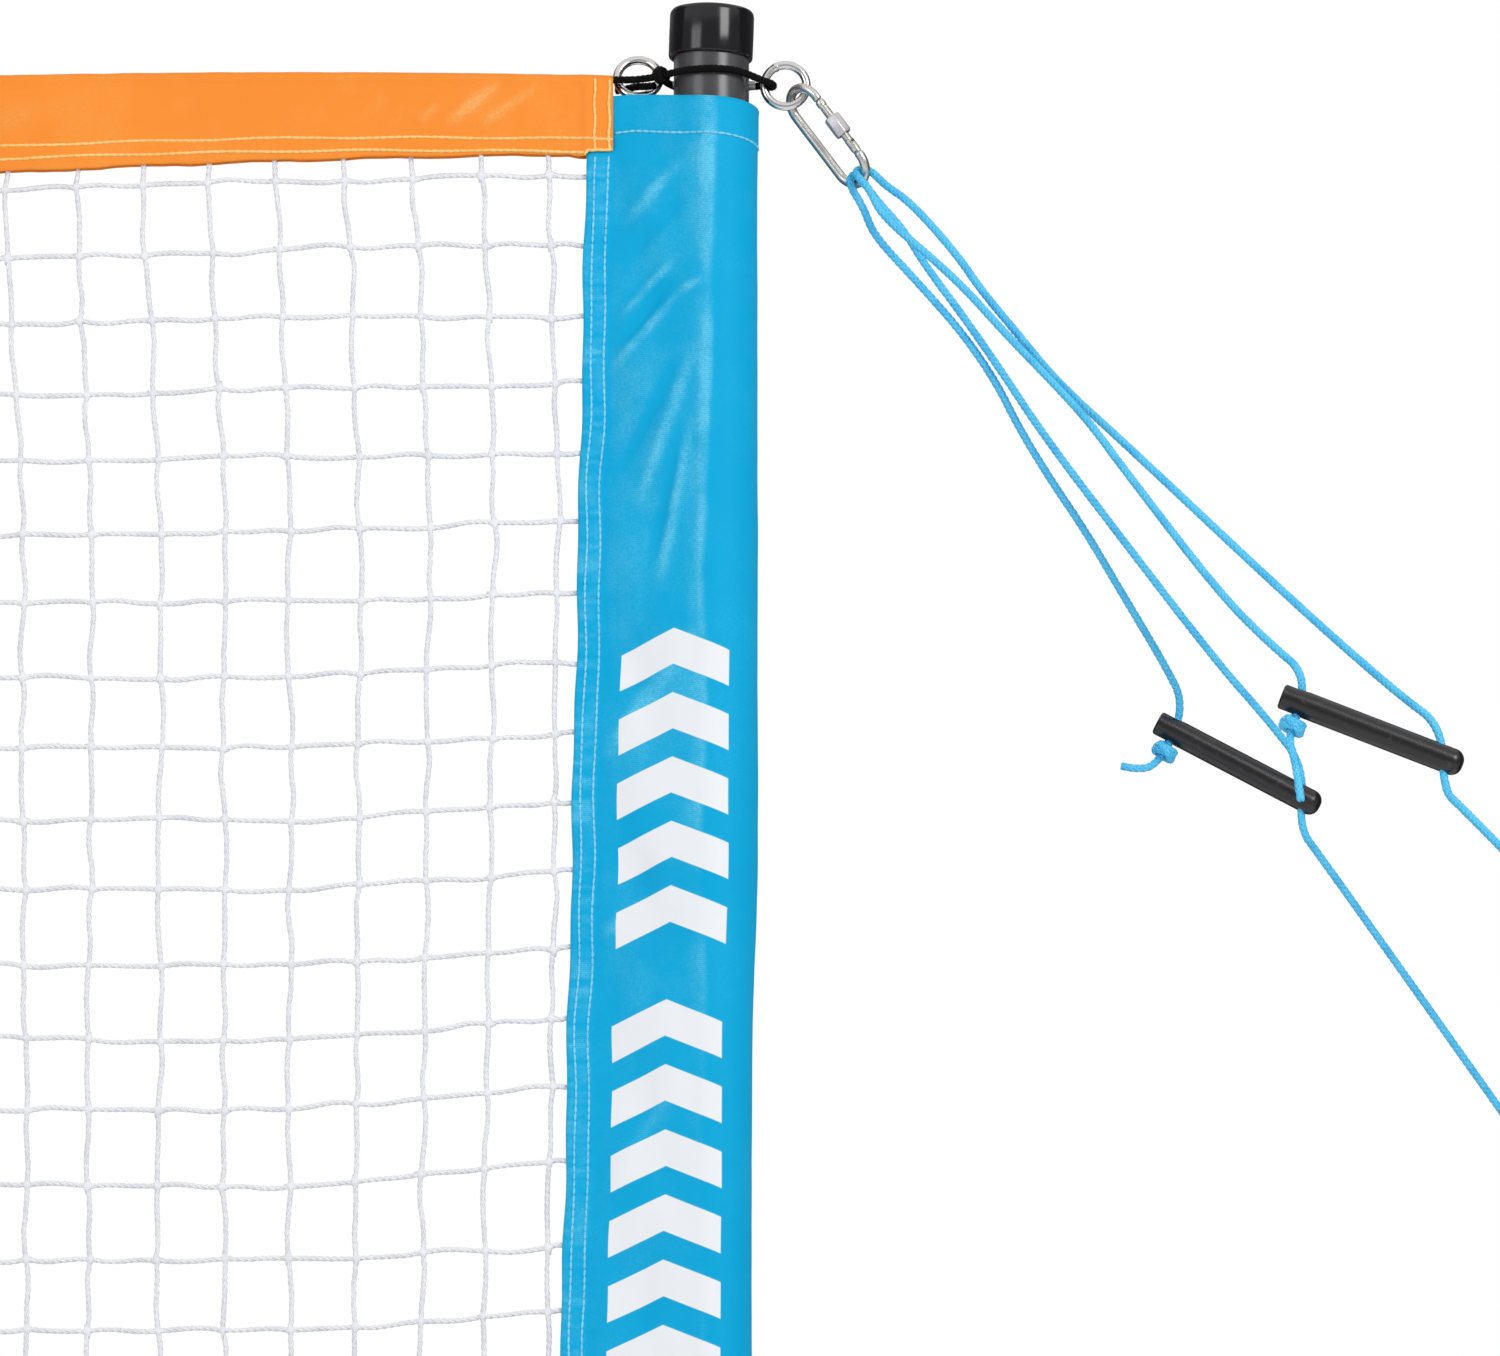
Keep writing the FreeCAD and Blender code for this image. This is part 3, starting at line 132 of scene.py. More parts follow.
class Value:
    """A shader socket that takes part in arithmetic."""

    __add__, __radd__ = math_node("ADD"), math_node("ADD", swapped=True)
    __sub__, __rsub__ = math_node("SUBTRACT"), math_node("SUBTRACT", swapped=True)
    __mul__, __truediv__ = math_node("MULTIPLY"), math_node("DIVIDE")
    sine, absolute, fraction = math_node("SINE"), math_node("ABSOLUTE"), math_node("FRACT")
    larger = math_node("MAXIMUM")

    def __init__(self, graph: Graph, socket: NodeSocket) -> None:
        """Keeps the socket and the graph that it belongs to."""
        self.graph = graph
        self.socket = socket

    def between(self, low: float, high: float) -> Value:
        """Smooth step from 0 at low to 1 at high."""
        return self.graph.node("ShaderNodeMapRange", {"interpolation_type": "SMOOTHSTEP"},
                               {0: self, 1: low, 2: high})


class Graph:
    """Node tree of a material or a world."""

    def __init__(self, holder: Material | World) -> None:
        """Empties the holder's tree."""
        holder.use_nodes = True
        self.tree = holder.node_tree
        self.tree.nodes.clear()

    def node(self, kind: str, settings: dict | None = None, inputs: dict | None = None,
             output: int | str = 0) -> Value:
        """Adds one node.

        Args:
            kind: The node's type name.
            settings: Properties set first.
            inputs: Sockets by name or number, each a value or a constant.
            output: The output to return.

        Returns:
            That output as a value.
        """
        node = self.tree.nodes.new(kind)
        for name, value in (settings or {}).items():
            setattr(node, name, value)
        for key, value in (inputs or {}).items():
            self.feed(node.inputs[key], value)
        return Value(self, node.outputs[output])

    def feed(self, socket: NodeSocket, value: Feed) -> None:
        """Links a value to a socket, or writes a constant on it."""
        if isinstance(value, Value):
            self.tree.links.new(value.socket, socket)
        elif isinstance(value, (int, float)):
            socket.default_value = value
        else:
            socket.default_value = (*value, 1.0) if socket.type == "RGBA" else tuple(value)

    def end(self, kind: str, surface: Value) -> None:
        """Adds the output node."""
        self.feed(self.tree.nodes.new(kind).inputs["Surface"], surface)


class Shader(Graph):
    """Node tree of one finish."""

    def __init__(self, name: str) -> None:
        """Starts an empty material with its surface shader."""
        self.material = bpy.data.materials.new(name)
        super().__init__(self.material)
        self.surface = self.tree.nodes.new("ShaderNodeBsdfPrincipled")
        self.end("ShaderNodeOutputMaterial", Value(self, self.surface.outputs[0]))

    def set(self, **inputs: Feed) -> None:
        """Feeds the surface shader; an underscore in a name stands for a space."""
        for name, value in inputs.items():
            self.feed(self.surface.inputs[name.replace("_", " ")], value)

    def cloth_place(self) -> tuple[Value, Value]:
        """The cloth's own two directions, in metres."""
        split = self.tree.nodes.new("ShaderNodeSeparateXYZ")
        self.feed(split.inputs[0], self.node("ShaderNodeUVMap", {"uv_map": "Cloth"}))
        return Value(self, split.outputs[0]), Value(self, split.outputs[1])

    def grain(self, scale: float, detail: float, rough: float = 0.5,
              stretch: Point = (1.0, 1.0, 1.0)) -> Value:
        """Noise from 0 to 1 over the object's own space."""
        where = self.node("ShaderNodeTexCoord", output="Object")
        place = self.node("ShaderNodeMapping", {}, {0: where, "Scale": stretch})
        return self.node("ShaderNodeTexNoise", {}, {
            "Vector": place, "Scale": scale, "Detail": detail, "Roughness": rough})

    def mix(self, share: Value | float, first: Value | Colour, second: Value | Colour) -> Value:
        """Blend of two colours."""
        return self.node("ShaderNodeMix", {"data_type": "RGBA"}, {0: share, 6: first, 7: second}, 2)

    def bump(self, height: Value, strength: float, distance: float) -> None:
        """Feeds the surface's Normal from a height."""
        self.set(Normal=self.node("ShaderNodeBump", {}, {
            "Height": height, "Strength": strength, "Distance": distance}))


class Gloss(Enum):
    """How rough a metal is at its smoothest."""

    POLISHED = 0.14
    WORN = 0.27
    MATT = 0.42


@dataclass(frozen=True)
class Finish(ABC):
    """Look of one kind of surface."""

    name: str
    colour: Colour

    @abstractmethod
    def paint(self, shader: Shader) -> None:
        """Feeds the surface shader."""

    def tone(self, share: float) -> Colour:
        """The finish's colour, darker or lighter."""
        return tuple(part * share for part in self.colour)

    def make(self) -> Material:
        """Builds the material."""
        shader = Shader(self.name)
        self.paint(shader)
        return shader.material


@dataclass(frozen=True)
class PaintedTube(Finish):
    """Powder coat with light clouds and a little dust."""

    def paint(self, shader: Shader) -> None:
        """Feeds the surface shader."""
        cloud = shader.grain(60.0, 4.0, stretch=(1.0, 1.0, 0.12))
        dust = shader.grain(260.0, 3.0).between(0.58, 0.75)
        colour = shader.mix(cloud.between(0.3, 0.7), self.tone(0.86), self.tone(1.14))
        shader.set(Base_Color=shader.mix(dust * 0.12, colour, (0.25, 0.25, 0.26)),
                   Roughness=0.20 + cloud * 0.12)
        shader.bump(shader.grain(900.0, 2.0), 0.12, 0.0002)


@dataclass(frozen=True)
class GlossMoulding(Finish):
    """Glossy moulding, rubbed up and down."""

    def paint(self, shader: Shader) -> None:
        """Feeds the surface shader."""
        cloud = shader.grain(38.0, 3.0)
        rubs = shader.grain(260.0, 4.0, stretch=(1.0, 1.0, 0.10)).between(0.56, 0.76)
        shader.set(Base_Color=shader.mix(rubs * 0.5, self.colour, (0.020, 0.021, 0.024)),
                   Roughness=0.12 + cloud * 0.08 + rubs * 0.12, Specular_IOR_Level=0.42)
        shader.bump(cloud * 0.8 + rubs * 0.2, 0.16, 0.0006)


@dataclass(frozen=True)
class SatinMoulding(Finish):
    """Satin moulding with fine pores."""

    def paint(self, shader: Shader) -> None:
        """Feeds the surface shader."""
        pores = shader.grain(1400.0, 2.0)
        cloud = shader.grain(90.0, 3.0)
        rubs = shader.grain(240.0, 4.0).between(0.57, 0.74)
        shader.set(Base_Color=shader.mix(rubs * 0.4, self.colour, (0.060, 0.052, 0.056)),
                   Roughness=0.19 + cloud * 0.12 + pores * 0.06, Specular_IOR_Level=0.5)
        shader.bump(pores * 0.4 + cloud * 0.6, 0.3, 0.0003)


@dataclass(frozen=True)
class Steel(Finish):
    """Bare or plated steel, polished, worn or matt."""

    gloss: Gloss = Gloss.POLISHED
    soil: float = 0.35

    def paint(self, shader: Shader) -> None:
        """Feeds the surface shader."""
        cloud = shader.grain(120.0, 4.0)
        spots = shader.grain(420.0, 4.0).between(0.55, 0.80)
        shader.set(Base_Color=shader.mix(spots * self.soil, self.colour, self.tone(0.34)),
                   Metallic=1.0, Roughness=self.gloss.value + cloud * 0.12 + spots * 0.14)
        shader.bump(shader.grain(900.0, 3.0) * 0.5 + cloud * 0.5, 0.18, 0.0002)


@dataclass(frozen=True)
class WovenCloth(Finish):
    """Coated woven cloth with threads, slubs and mottling, painted shade in the gaps between
    threads, and pale creases that are partly wear and partly painted highlight.
    """

    pale: Colour
    deep: Colour
    pitch: float = 0.00055
    rib_pitch: float = 0.0012
    mottle: float = 0.5
    roughness: float = 0.62
    shine: float = 0.15
    rib: float = 0.22

    def paint(self, shader: Shader) -> None:
        """Feeds the surface shader."""
        across, along = shader.cloth_place()
        warp = (across * (math.tau / self.pitch)).sine()
        weft = (along * (math.tau / self.pitch)).sine()
        threads = warp.absolute().larger(weft.absolute())
        speckle = shader.grain(700.0, 3.0, 0.6)
        patches = shader.grain(26.0, 5.0, 0.62)
        broad = shader.grain(9.0, 3.0, stretch=(1.0, 1.0, 0.6))
        lit = (patches * 0.6 + broad * 0.4).between(0.44, 0.66) * speckle.between(0.30, 0.72)
        base = shader.mix(lit * self.mottle, self.colour, self.pale)
        # Painted shade in the gaps between the threads, plus random darker patches.
        thread_gap_shade_and_patches = (1.0 - threads) * 0.10 + broad.between(0.62, 0.4) * 0.12
        base = shader.mix(thread_gap_shade_and_patches, base, self.deep)
        # Paleness carried on the cloth's corners: partly wear, partly painted highlight on the
        # folds; the ribs and speckle break it up.
        rub = shader.node("ShaderNodeAttribute", {"attribute_name": "Rub"}, output="Fac")
        ribs = (along * (math.tau / self.rib_pitch)).sine() * self.rib + 0.62
        paler_wear_and_highlight = rub * (0.35 + patches.between(0.30, 0.70))
        paler_wear_and_highlight = paler_wear_and_highlight * (ribs + speckle.between(0.35, 0.70) * 0.5)
        base = shader.mix(paler_wear_and_highlight.between(0.0, 1.25), base, self.pale)
        shader.set(Base_Color=self.cover(shader, across, along, base),
                   Roughness=self.roughness + speckle * 0.14, Specular_IOR_Level=self.shine)
        shader.bump(((warp * weft) * 0.5 + 0.5) * 0.7 + speckle * 0.5, 0.30, 0.00025)

    def cover(self, shader: Shader, across: Value, along: Value, base: Value) -> Value:
        """Bare cloth has nothing over its colour."""
        return base


@dataclass(frozen=True)
class PrintedCloth(WovenCloth):
    """Woven cloth with rows of plain white chevrons printed up its front."""

    ink: Colour = (0.93, 0.94, 0.95)
    middle: float = 0.0612
    half_width: float = 0.0336
    pitch_up: float = 0.0382
    stroke: float = 0.56
    slope: float = 0.42
    groups: tuple[tuple[float, int], ...] = ((0.590, 5), (0.3700, 7))

    def cover(self, shader: Shader, across: Value, along: Value, base: Value) -> Value:
        """Lays the white chevrons over the cloth's colour."""
        off = (across - self.middle).absolute()
        ink: Value | float = 0.0
        for start, count in self.groups:
            walk = (start - off * self.slope - along) / self.pitch_up
            part = walk.fraction()
            stroke = part.between(0.0, 0.02) * part.between(self.stroke + 0.02, self.stroke)
            ink = ink + stroke * walk.between(0.0, 0.01) * walk.between(count, count - 0.01)
        ink = ink * off.between(self.half_width + 0.0003, self.half_width)
        return shader.mix(ink * 0.97, base, self.ink)


@dataclass(frozen=True)
class Yarn(Finish):
    """Spun or filament yarn of ropes, twine and sewing thread."""

    pale: Colour
    deep: Colour
    roughness: float = 0.55
    sheen: float = 0.05
    shine: float = 0.30

    def paint(self, shader: Shader) -> None:
        """Feeds the surface shader."""
        fibres = shader.grain(2600.0, 3.0, 0.7)
        cloud = shader.grain(70.0, 3.0)
        tint = shader.mix(fibres.between(0.40, 0.68) * 0.6, self.colour, self.pale)
        shader.set(Base_Color=shader.mix(cloud.between(0.55, 0.35) * 0.35, tint, self.deep),
                   Roughness=self.roughness + fibres * 0.12, Sheen_Weight=self.sheen,
                   Sheen_Roughness=0.4, Specular_IOR_Level=self.shine)
        shader.bump(fibres, 0.35, 0.0002)


class Look(Enum):
    """Every finish of the set."""

    POLE = PaintedTube("pole_powder_coat", (0.066, 0.066, 0.072))
    CAP = GlossMoulding("cap_gloss_black", (0.005, 0.005, 0.007))
    SLIDER = SatinMoulding("slider_satin", (0.008, 0.0065, 0.0072))
    RING = Steel("ring_steel_polished", (0.64, 0.63, 0.62))
    HOOK = Steel("hook_steel_worn", (0.60, 0.58, 0.54), Gloss.WORN, 0.55)
    NUT = Steel("sleeve_steel_matt", (0.56, 0.54, 0.55), Gloss.MATT, 0.25)
    PIN = Steel("pin_zinc_dull", (0.36, 0.36, 0.37), Gloss.MATT, 0.5)
    TAPE = WovenCloth("tape_orange_cloth", (1.0, 0.306, 0.037), (1.0, 0.50, 0.16),
                      (0.84, 0.21, 0.016), mottle=0.30, roughness=0.50, rib=0.03)
    SLEEVE = PrintedCloth("sleeve_blue_cloth", (0.0, 0.422, 0.75), (0.13, 0.62, 0.88),
                          (0.0, 0.32, 0.63), mottle=0.10, roughness=0.42, shine=0.10)
    TAPE_THREAD = Yarn("tape_thread_gold", (1.0, 0.60, 0.17), (1.0, 0.78, 0.38), (0.90, 0.42, 0.08))
    SLEEVE_THREAD = Yarn("sleeve_thread_pale_blue", (0.17, 0.66, 0.90), (0.45, 0.84, 0.97),
                         (0.06, 0.50, 0.80))
    TWINE = Yarn("net_twine_white", (0.88, 0.88, 0.91), (0.97, 0.97, 0.98), (0.70, 0.70, 0.76), 0.6)
    ROPE = Yarn("guy_rope_cyan", (0.032, 0.56, 0.94), (0.34, 0.84, 1.0), (0.006, 0.38, 0.80),
                0.30, 0.05, 0.5)
    CORD = Yarn("head_cord_black", (0.004, 0.004, 0.004), (0.014, 0.013, 0.013),
                (0.002, 0.002, 0.002), 0.6, 0.0, 0.06)

    def material(self) -> Material:
        """The finish's material, made the first time it is asked for."""
        return bpy.data.materials.get(self.value.name) or self.value.make()


def dress(node: Object, look: Look) -> None:
    """Gives a carried-over solid its finish."""
    node.data.materials.clear()
    node.data.materials.append(look.material())
    log.info("%s: dressed", node.name)


def add_piece(name: str, mesh: Mesh, look: Look, body: str = "",
              node: str = "", sharp: float | None = None) -> Object:
    """Adds one piece at the origin.

    Args:
        name: The piece's name.
        mesh: Its mesh, in place.
        look: Its finish.
        body: Body that it rides on, if any.
        node: CAD node that it replaces, if any.
        sharp: Angle in degrees above which an edge stays sharp, or None for all smooth.

    Returns:
        The new object.
    """
    mesh.materials.append(look.material())
    mesh.shade_smooth()
    if sharp is not None:
        mesh.set_sharp_from_angle(angle=math.radians(sharp))
    piece = bpy.data.objects.new(name, mesh)
    bpy.context.scene.collection.objects.link(piece)
    if body:
        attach(piece, body)
    if node:
        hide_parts(node)
    log.info("%s: %d faces", name, len(mesh.polygons))
    return piece


def written(bm: BMesh, name: str) -> Mesh:
    """Writes a bmesh as a mesh and frees it."""
    mesh = bpy.data.meshes.new(name)
    bm.to_mesh(mesh)
    bm.free()
    return mesh


def merged(bm: BMesh, name: str, outward: bool = True, reach: float = 1e-7) -> Mesh:
    """Merges doubles within a reach, turns faces outward and writes the mesh."""
    bmesh.ops.remove_doubles(bm, verts=bm.verts, dist=reach)
    if outward:
        bmesh.ops.recalc_face_normals(bm, faces=bm.faces)
    return written(bm, name)


def joined(meshes: Sequence[Mesh], name: str) -> Mesh:
    """One mesh from several, which it uses up."""
    bm = bmesh.new()
    for mesh in meshes:
        bm.from_mesh(mesh)
        bpy.data.meshes.remove(mesh)
    return written(bm, name)


def stamp(bm: BMesh, base: Mesh, place: Matrix) -> None:
    """Adds a copy of a mesh at a place, which may mirror it."""
    copy = base.copy()
    copy.transform(place)
    if place.is_negative:
        copy.flip_normals()
    bm.from_mesh(copy)
    bpy.data.meshes.remove(copy)


def edges_of(verts: Sequence[BMVert]) -> list[BMEdge]:
    """All edges at some corners."""
    return list({edge for vertex in verts for edge in vertex.link_edges})


def only_edges(items: Sequence) -> list[BMEdge]:
    """The edges among mixed mesh elements."""
    return [item for item in items if isinstance(item, BMEdge)]


def spin(bm: BMesh, geom: list, steps: int, **settings: object) -> list:
    """Sweeps mesh elements round an axis, all the way round Z where nothing else is set."""
    whole = {"cent": (0, 0, 0), "axis": (0, 0, 1), "angle": math.tau, "use_merge": True}
    return bmesh.ops.spin(bm, geom=geom, steps=steps, **(whole | settings))["geom_last"]


def outline(bm: BMesh, profile: Profile) -> tuple[list, list]:
    """Corners and edges of a half section, given by radius and height."""
    corners = [bm.verts.new((radius, 0.0, height)) for radius, height in profile]
    return corners, [bm.edges.new(pair) for pair in zip(corners, corners[1:])]


def turned(name: str, profile: Profile, steps: int) -> Mesh:
    """Closed shape of a half section turned about the upright axis."""
    bm = bmesh.new()
    corners, edges = outline(bm, profile)
    spin(bm, corners + edges, steps)
    return merged(bm, name)


def swept(lines: Sequence[Sequence[Vector]], kind: str, **settings: object) -> Mesh:
    """Mesh of a curve of some kind along each line."""
    data = bpy.data.curves.new("line", "CURVE")
    data.dimensions = "3D"
    for name, value in settings.items():
        setattr(data, name, value)
    for line in lines:
        spline = data.splines.new(kind)
        spline.points.add(len(line) - 1)
        for point, place in zip(spline.points, line):
            point.co = (*place, 1.0)
        if kind == "NURBS":
            spline.order_u = 3
            spline.use_endpoint_u = True
    holder = bpy.data.objects.new("line", data)
    mesh = bpy.data.meshes.new_from_object(holder)
    bpy.data.objects.remove(holder)
    bpy.data.curves.remove(data)
    return mesh


def tubes(lines: Sequence[Sequence[Vector]], radius: float, sides: int = 1) -> Mesh:
    """Closed round tubes; 0 gives them four sides and 1 six."""
    return swept(lines, "POLY", bevel_depth=radius, bevel_resolution=sides, use_fill_caps=True)


def smooth_route(points: Sequence[Point]) -> list[Vector]:
    """Points along the smooth line whose control points are given in millimetres."""
    mesh = swept([[Vector(point) / 1000.0 for point in points]], "NURBS", resolution_u=16)
    line = [vertex.co.copy() for vertex in mesh.vertices]
    bpy.data.meshes.remove(mesh)
    return line


def evenly(line: Sequence[Vector], spacing: float) -> list[Vector]:
    """The same line with points an even distance apart."""
    lengths = [(b - a).length for a, b in zip(line, line[1:])]
    count = max(2, round(sum(lengths) / spacing))
    step = sum(lengths) / count
    even = [line[0].copy()]
    index, walked = 0, 0.0
    for number in range(1, count):
        target = number * step
        while index < len(lengths) - 1 and walked + lengths[index] < target:
            walked += lengths[index]
            index += 1
        share = (target - walked) / max(lengths[index], 1e-12)
        even.append(line[index].lerp(line[index + 1], share))
    return even + [line[-1].copy()]


def frames_along(line: Sequence[Vector]) -> list[tuple[Vector, Vector, Vector]]:
    """Place and two crosswise directions at each point, without twist."""
    frames = []
    across = None
    for index, place in enumerate(line):
        ahead = line[min(index + 1, len(line) - 1)] - line[max(index - 1, 0)]
        ahead.normalize()
        if across is None:
            across = ahead.orthogonal().normalized()
        across = (across - ahead * across.dot(ahead)).normalized()
        frames.append((place, across.copy(), ahead.cross(across)))
    return frames


@dataclass(frozen=True)
class Lay:
    """How the strands of a rope lie."""

    strands: int
    pitch: float
    strand_share: float
    braided: bool
    spacing: float
    sides: int = 1
    core_share: float = 0.33

    def strand_lines(self, line: Sequence[Vector], diameter: float) -> list[list[Vector]]:
        """Middle lines of all strands of a rope along a line."""
        frames = frames_along(evenly(line, self.spacing))
        strand = diameter * self.strand_share / 2.0
        reach = diameter / 2.0 - strand
        weave = 0.12 * strand if self.braided else 0.0
        strands = []
        for number in range(self.strands):
            way = -1.0 if self.braided and number % 2 else 1.0
            start = math.tau * number / self.strands
            points = []
            for index, (place, across, up) in enumerate(frames):
                turn = way * math.tau * index * self.spacing / self.pitch + start
                radius = reach - weave + weave * math.cos(turn * self.strands / 2.0) * way
                points.append(place + across * math.cos(turn) * radius
                              + up * math.sin(turn) * radius)
            strands.append(points)
        return strands

    def mesh(self, name: str, lines: Sequence[Sequence[Vector]], diameter: float) -> Mesh:
        """Mesh of ropes along several lines, with a core where the strands are braided."""
        strands = [points for line in lines for points in self.strand_lines(line, diameter)]
        meshes = [tubes(strands, diameter * self.strand_share / 2.0, self.sides)]
        if self.braided:
            cores = [evenly(line, self.spacing * 2.0) for line in lines]
            meshes.append(tubes(cores, diameter * self.core_share))
        return joined(meshes, name)


@dataclass(frozen=True)
class Cordage:
    """A kind of cord, and how its pieces are made."""

    lay: Lay
    look: Look
    slot: str
    fullness: float = 1.0
    diameter: float = 0.0048
    steps_a_turn: int = 22
    riding_steps: int = 18

    def piece(self, node: str, line: list[Vector], body: str = "") -> Object:
        """Braid along a line that stands for one CAD node."""
        mesh = self.lay.mesh(node + "_braid", [line], self.diameter * self.fullness)
        return add_piece(node + "_braid", mesh, self.look, body, node)

    def wraps(self, start: Vector, along: Vector, length: float, width: float,
              turns: float) -> list[Vector]:
        """Middle line of a cord wrapped round its standing part, with one riding turn over it.

        Args:
            start: Start of the knot on the standing part.
            along: Direction of the standing part.
            length: Length of the knot.
            width: Width over the wraps.
            turns: Number of wraps.

        Returns:
            Points of the line.
        """
        along = along.normalized()
        across = along.orthogonal().normalized()
        up = along.cross(across)
        reach = (width - self.diameter) / 2
        run = length - self.diameter

        def point(walk: float, angle: float, radius: float) -> Vector:
            """Point at a walk along the knot."""
            return (start + along * walk
                    + (across * math.cos(angle) + up * math.sin(angle)) * radius)

        line = []
        steps = int(turns * self.steps_a_turn)
        for index in range(steps + 1):
            share = index / steps
            radius = reach * (0.45 + 0.55 * ease(share * turns, 0.0, 0.25))
            line.append(point(self.diameter / 2 + run * share, math.tau * turns * share, radius))
        for index in range(self.riding_steps):
            share = (index + 1) / self.riding_steps
            swell = 1.0 + 0.26 * math.sin(math.pi * share) - 0.55 * ease(share, 0.75, 1.0)
            line.append(point(length - self.diameter / 2 - run * share,
                              math.tau * turns + 2.2 * share, reach * swell))
        return line


GUY_ROPE = Cordage(Lay(8, 0.0150, 0.41, True, 0.00120), Look.ROPE, "cyan_rope", 1.06)
HEAD_LINE = Cordage(Lay(8, 0.0130, 0.42, True, 0.00115), Look.CORD, "black_cord")
NET_TWINE = Lay(3, 0.0125, 0.54, False, 0.0021, sides=0)


@dataclass(frozen=True)
class Cut:
    """Flat cut of one cloth piece, and how it is sewn and held.

    The grid counts faces across and along; a stitch has a length, a gap and a thickness.
    """

    node: str
    grid: tuple[int, int]
    flat: tuple[float, float]
    look: Look
    thread: Look
    slot: str
    stitches: str
    stitch: tuple[float, float, float]
    held: str
    rests_on: list[str]


class Cloth(ABC):
    """A cloth piece with its rows of stitches."""

    cut: Cut

    @abstractmethod
    def place(self, u: float, v: float) -> Vector:
        """Point of the cloth for a share across and a share along its flat cut."""

    @abstractmethod
    def rows(self) -> list[Row]:
        """Rows of stitches."""

    def rub(self, point: Vector) -> float:
        """How pale the cloth is at a point, from 0 to 1: partly wear, partly painted highlight."""
        return 0.0

    def row(self, track: Track, steps: int) -> Row:
        """Points on the outer face along a track, each with the direction away from the cloth."""
        row = []
        for index in range(steps + 1):
            u, v = track(index / steps)
            across = self.place(min(u + 1e-3, 1.0), v) - self.place(max(u - 1e-3, 0.0), v)
            along = self.place(u, min(v + 1e-3, 1.0)) - self.place(u, max(v - 1e-3, 0.0))
            outward = across.cross(along).normalized()
            row.append((self.place(u, v) + outward * (CLOTH / 2), outward))
        return row

    def _sheet(self, name: str) -> Mesh:
        """The flat cut laid onto its shape, with its own directions on the map "Cloth"."""
        bm = bmesh.new()
        columns, rows = self.cut.grid
        bmesh.ops.create_grid(bm, x_segments=columns, y_segments=rows, size=0.5)
        layer = bm.loops.layers.uv.new("Cloth")
        for face in bm.faces:
            for loop in face.loops:
                share = loop.vert.co
                loop[layer].uv = ((share.x + 0.5) * self.cut.flat[0],
                                  (share.y + 0.5) * self.cut.flat[1])
        # Each corner's paleness: partly wear, partly painted highlight.
        paler_wear_and_highlight = bm.verts.layers.float.new("Rub")
        for vertex in bm.verts:
            vertex.co = self.place(vertex.co.x + 0.5, vertex.co.y + 0.5)
            vertex[paler_wear_and_highlight] = self.rub(vertex.co)
        bmesh.ops.recalc_face_normals(bm, faces=bm.faces)
        thin = written(bm, name + "_thin")
        holder = bpy.data.objects.new(name + "_thin", thin)
        bpy.context.scene.collection.objects.link(holder)
        thicken = holder.modifiers.new("Thickness", "SOLIDIFY")
        thicken.thickness = CLOTH
        thicken.offset = 0.0
        ready = holder.evaluated_get(bpy.context.evaluated_depsgraph_get())
        mesh = bpy.data.meshes.new_from_object(ready)
        mesh.name = name
        bpy.data.objects.remove(holder)
        bpy.data.meshes.remove(thin)
        return mesh

    def _stitches(self) -> Mesh:
        """Mesh of all stitches along the rows, each a little off line and in length."""
        length, gap, thick = self.cut.stitch
        base_bm = bmesh.new()
        bmesh.ops.create_uvsphere(base_bm, u_segments=7, v_segments=6, radius=0.5)
        base = written(base_bm, "stitch")
        rows = self.rows()
        chance = random.Random(len(rows) * 7 + 3)
        bm = bmesh.new()
        for row in rows:
            walked, target = 0.0, length / 2
            for (a, outward), (b, _) in zip(row, row[1:]):
                run = (b - a).length
                while run > 1e-9 and walked + run >= target:
                    spot = a.lerp(b, (target - walked) / run)
                    ahead = (b - a).normalized()
                    side = outward.cross(ahead).normalized()
                    up = ahead.cross(side)
                    ahead = (ahead + side * chance.uniform(-0.07, 0.07)).normalized()
                    turn = Matrix((up.cross(ahead), up, ahead)).transposed().to_4x4()
                    size = (thick, thick * 0.8, length * chance.uniform(0.94, 1.06), 1.0)
                    stamp(bm, base, Matrix.Translation(spot + up * thick * 0.10) @ turn
                          @ Matrix.Diagonal(size))
                    target += length + gap
                walked += run
        bpy.data.meshes.remove(base)
        return merged(bm, self.cut.stitches)

    def build(self) -> None:
        """Builds the cloth and its stitches."""
        cut, name = self.cut, self.cut.node + "_cloth"
        cloth = add_piece(name, self._sheet(name), cut.look, "pole_and_net", cut.node)
        thread = add_piece(cut.stitches, self._stitches(), cut.thread, "pole_and_net")


def ridge(x: float, z: float, pull: Pull, widen: float = 1.0) -> float:
    """Soft ridge from 0 to 1 along a pull that fades towards its ends."""
    x0, z0, x1, z1, _, width = pull
    along = Vector((x1 - x0, z1 - z0))
    length = along.length
    along.normalize()
    offset = Vector((x - x0, z - z0))
    walk = offset.dot(along)
    off = abs(offset.x * along.y - offset.y * along.x)
    return (ease(walk, -0.15 * length, 0.25 * length)
            * ease(length - walk, -0.15 * length, 0.35 * length)
            * bump_at(off, 0.0, width * widen))


def pulled(pulls: Sequence[Pull], x: float, z: float, gain: Callable[[float], float] = float,
           widen: float = 1.0) -> float:
    """Sum of the pulls' ridges at a place, each times the gain of its height."""
    return sum(gain(pull[4]) * ridge(x, z, pull, widen) for pull in pulls)


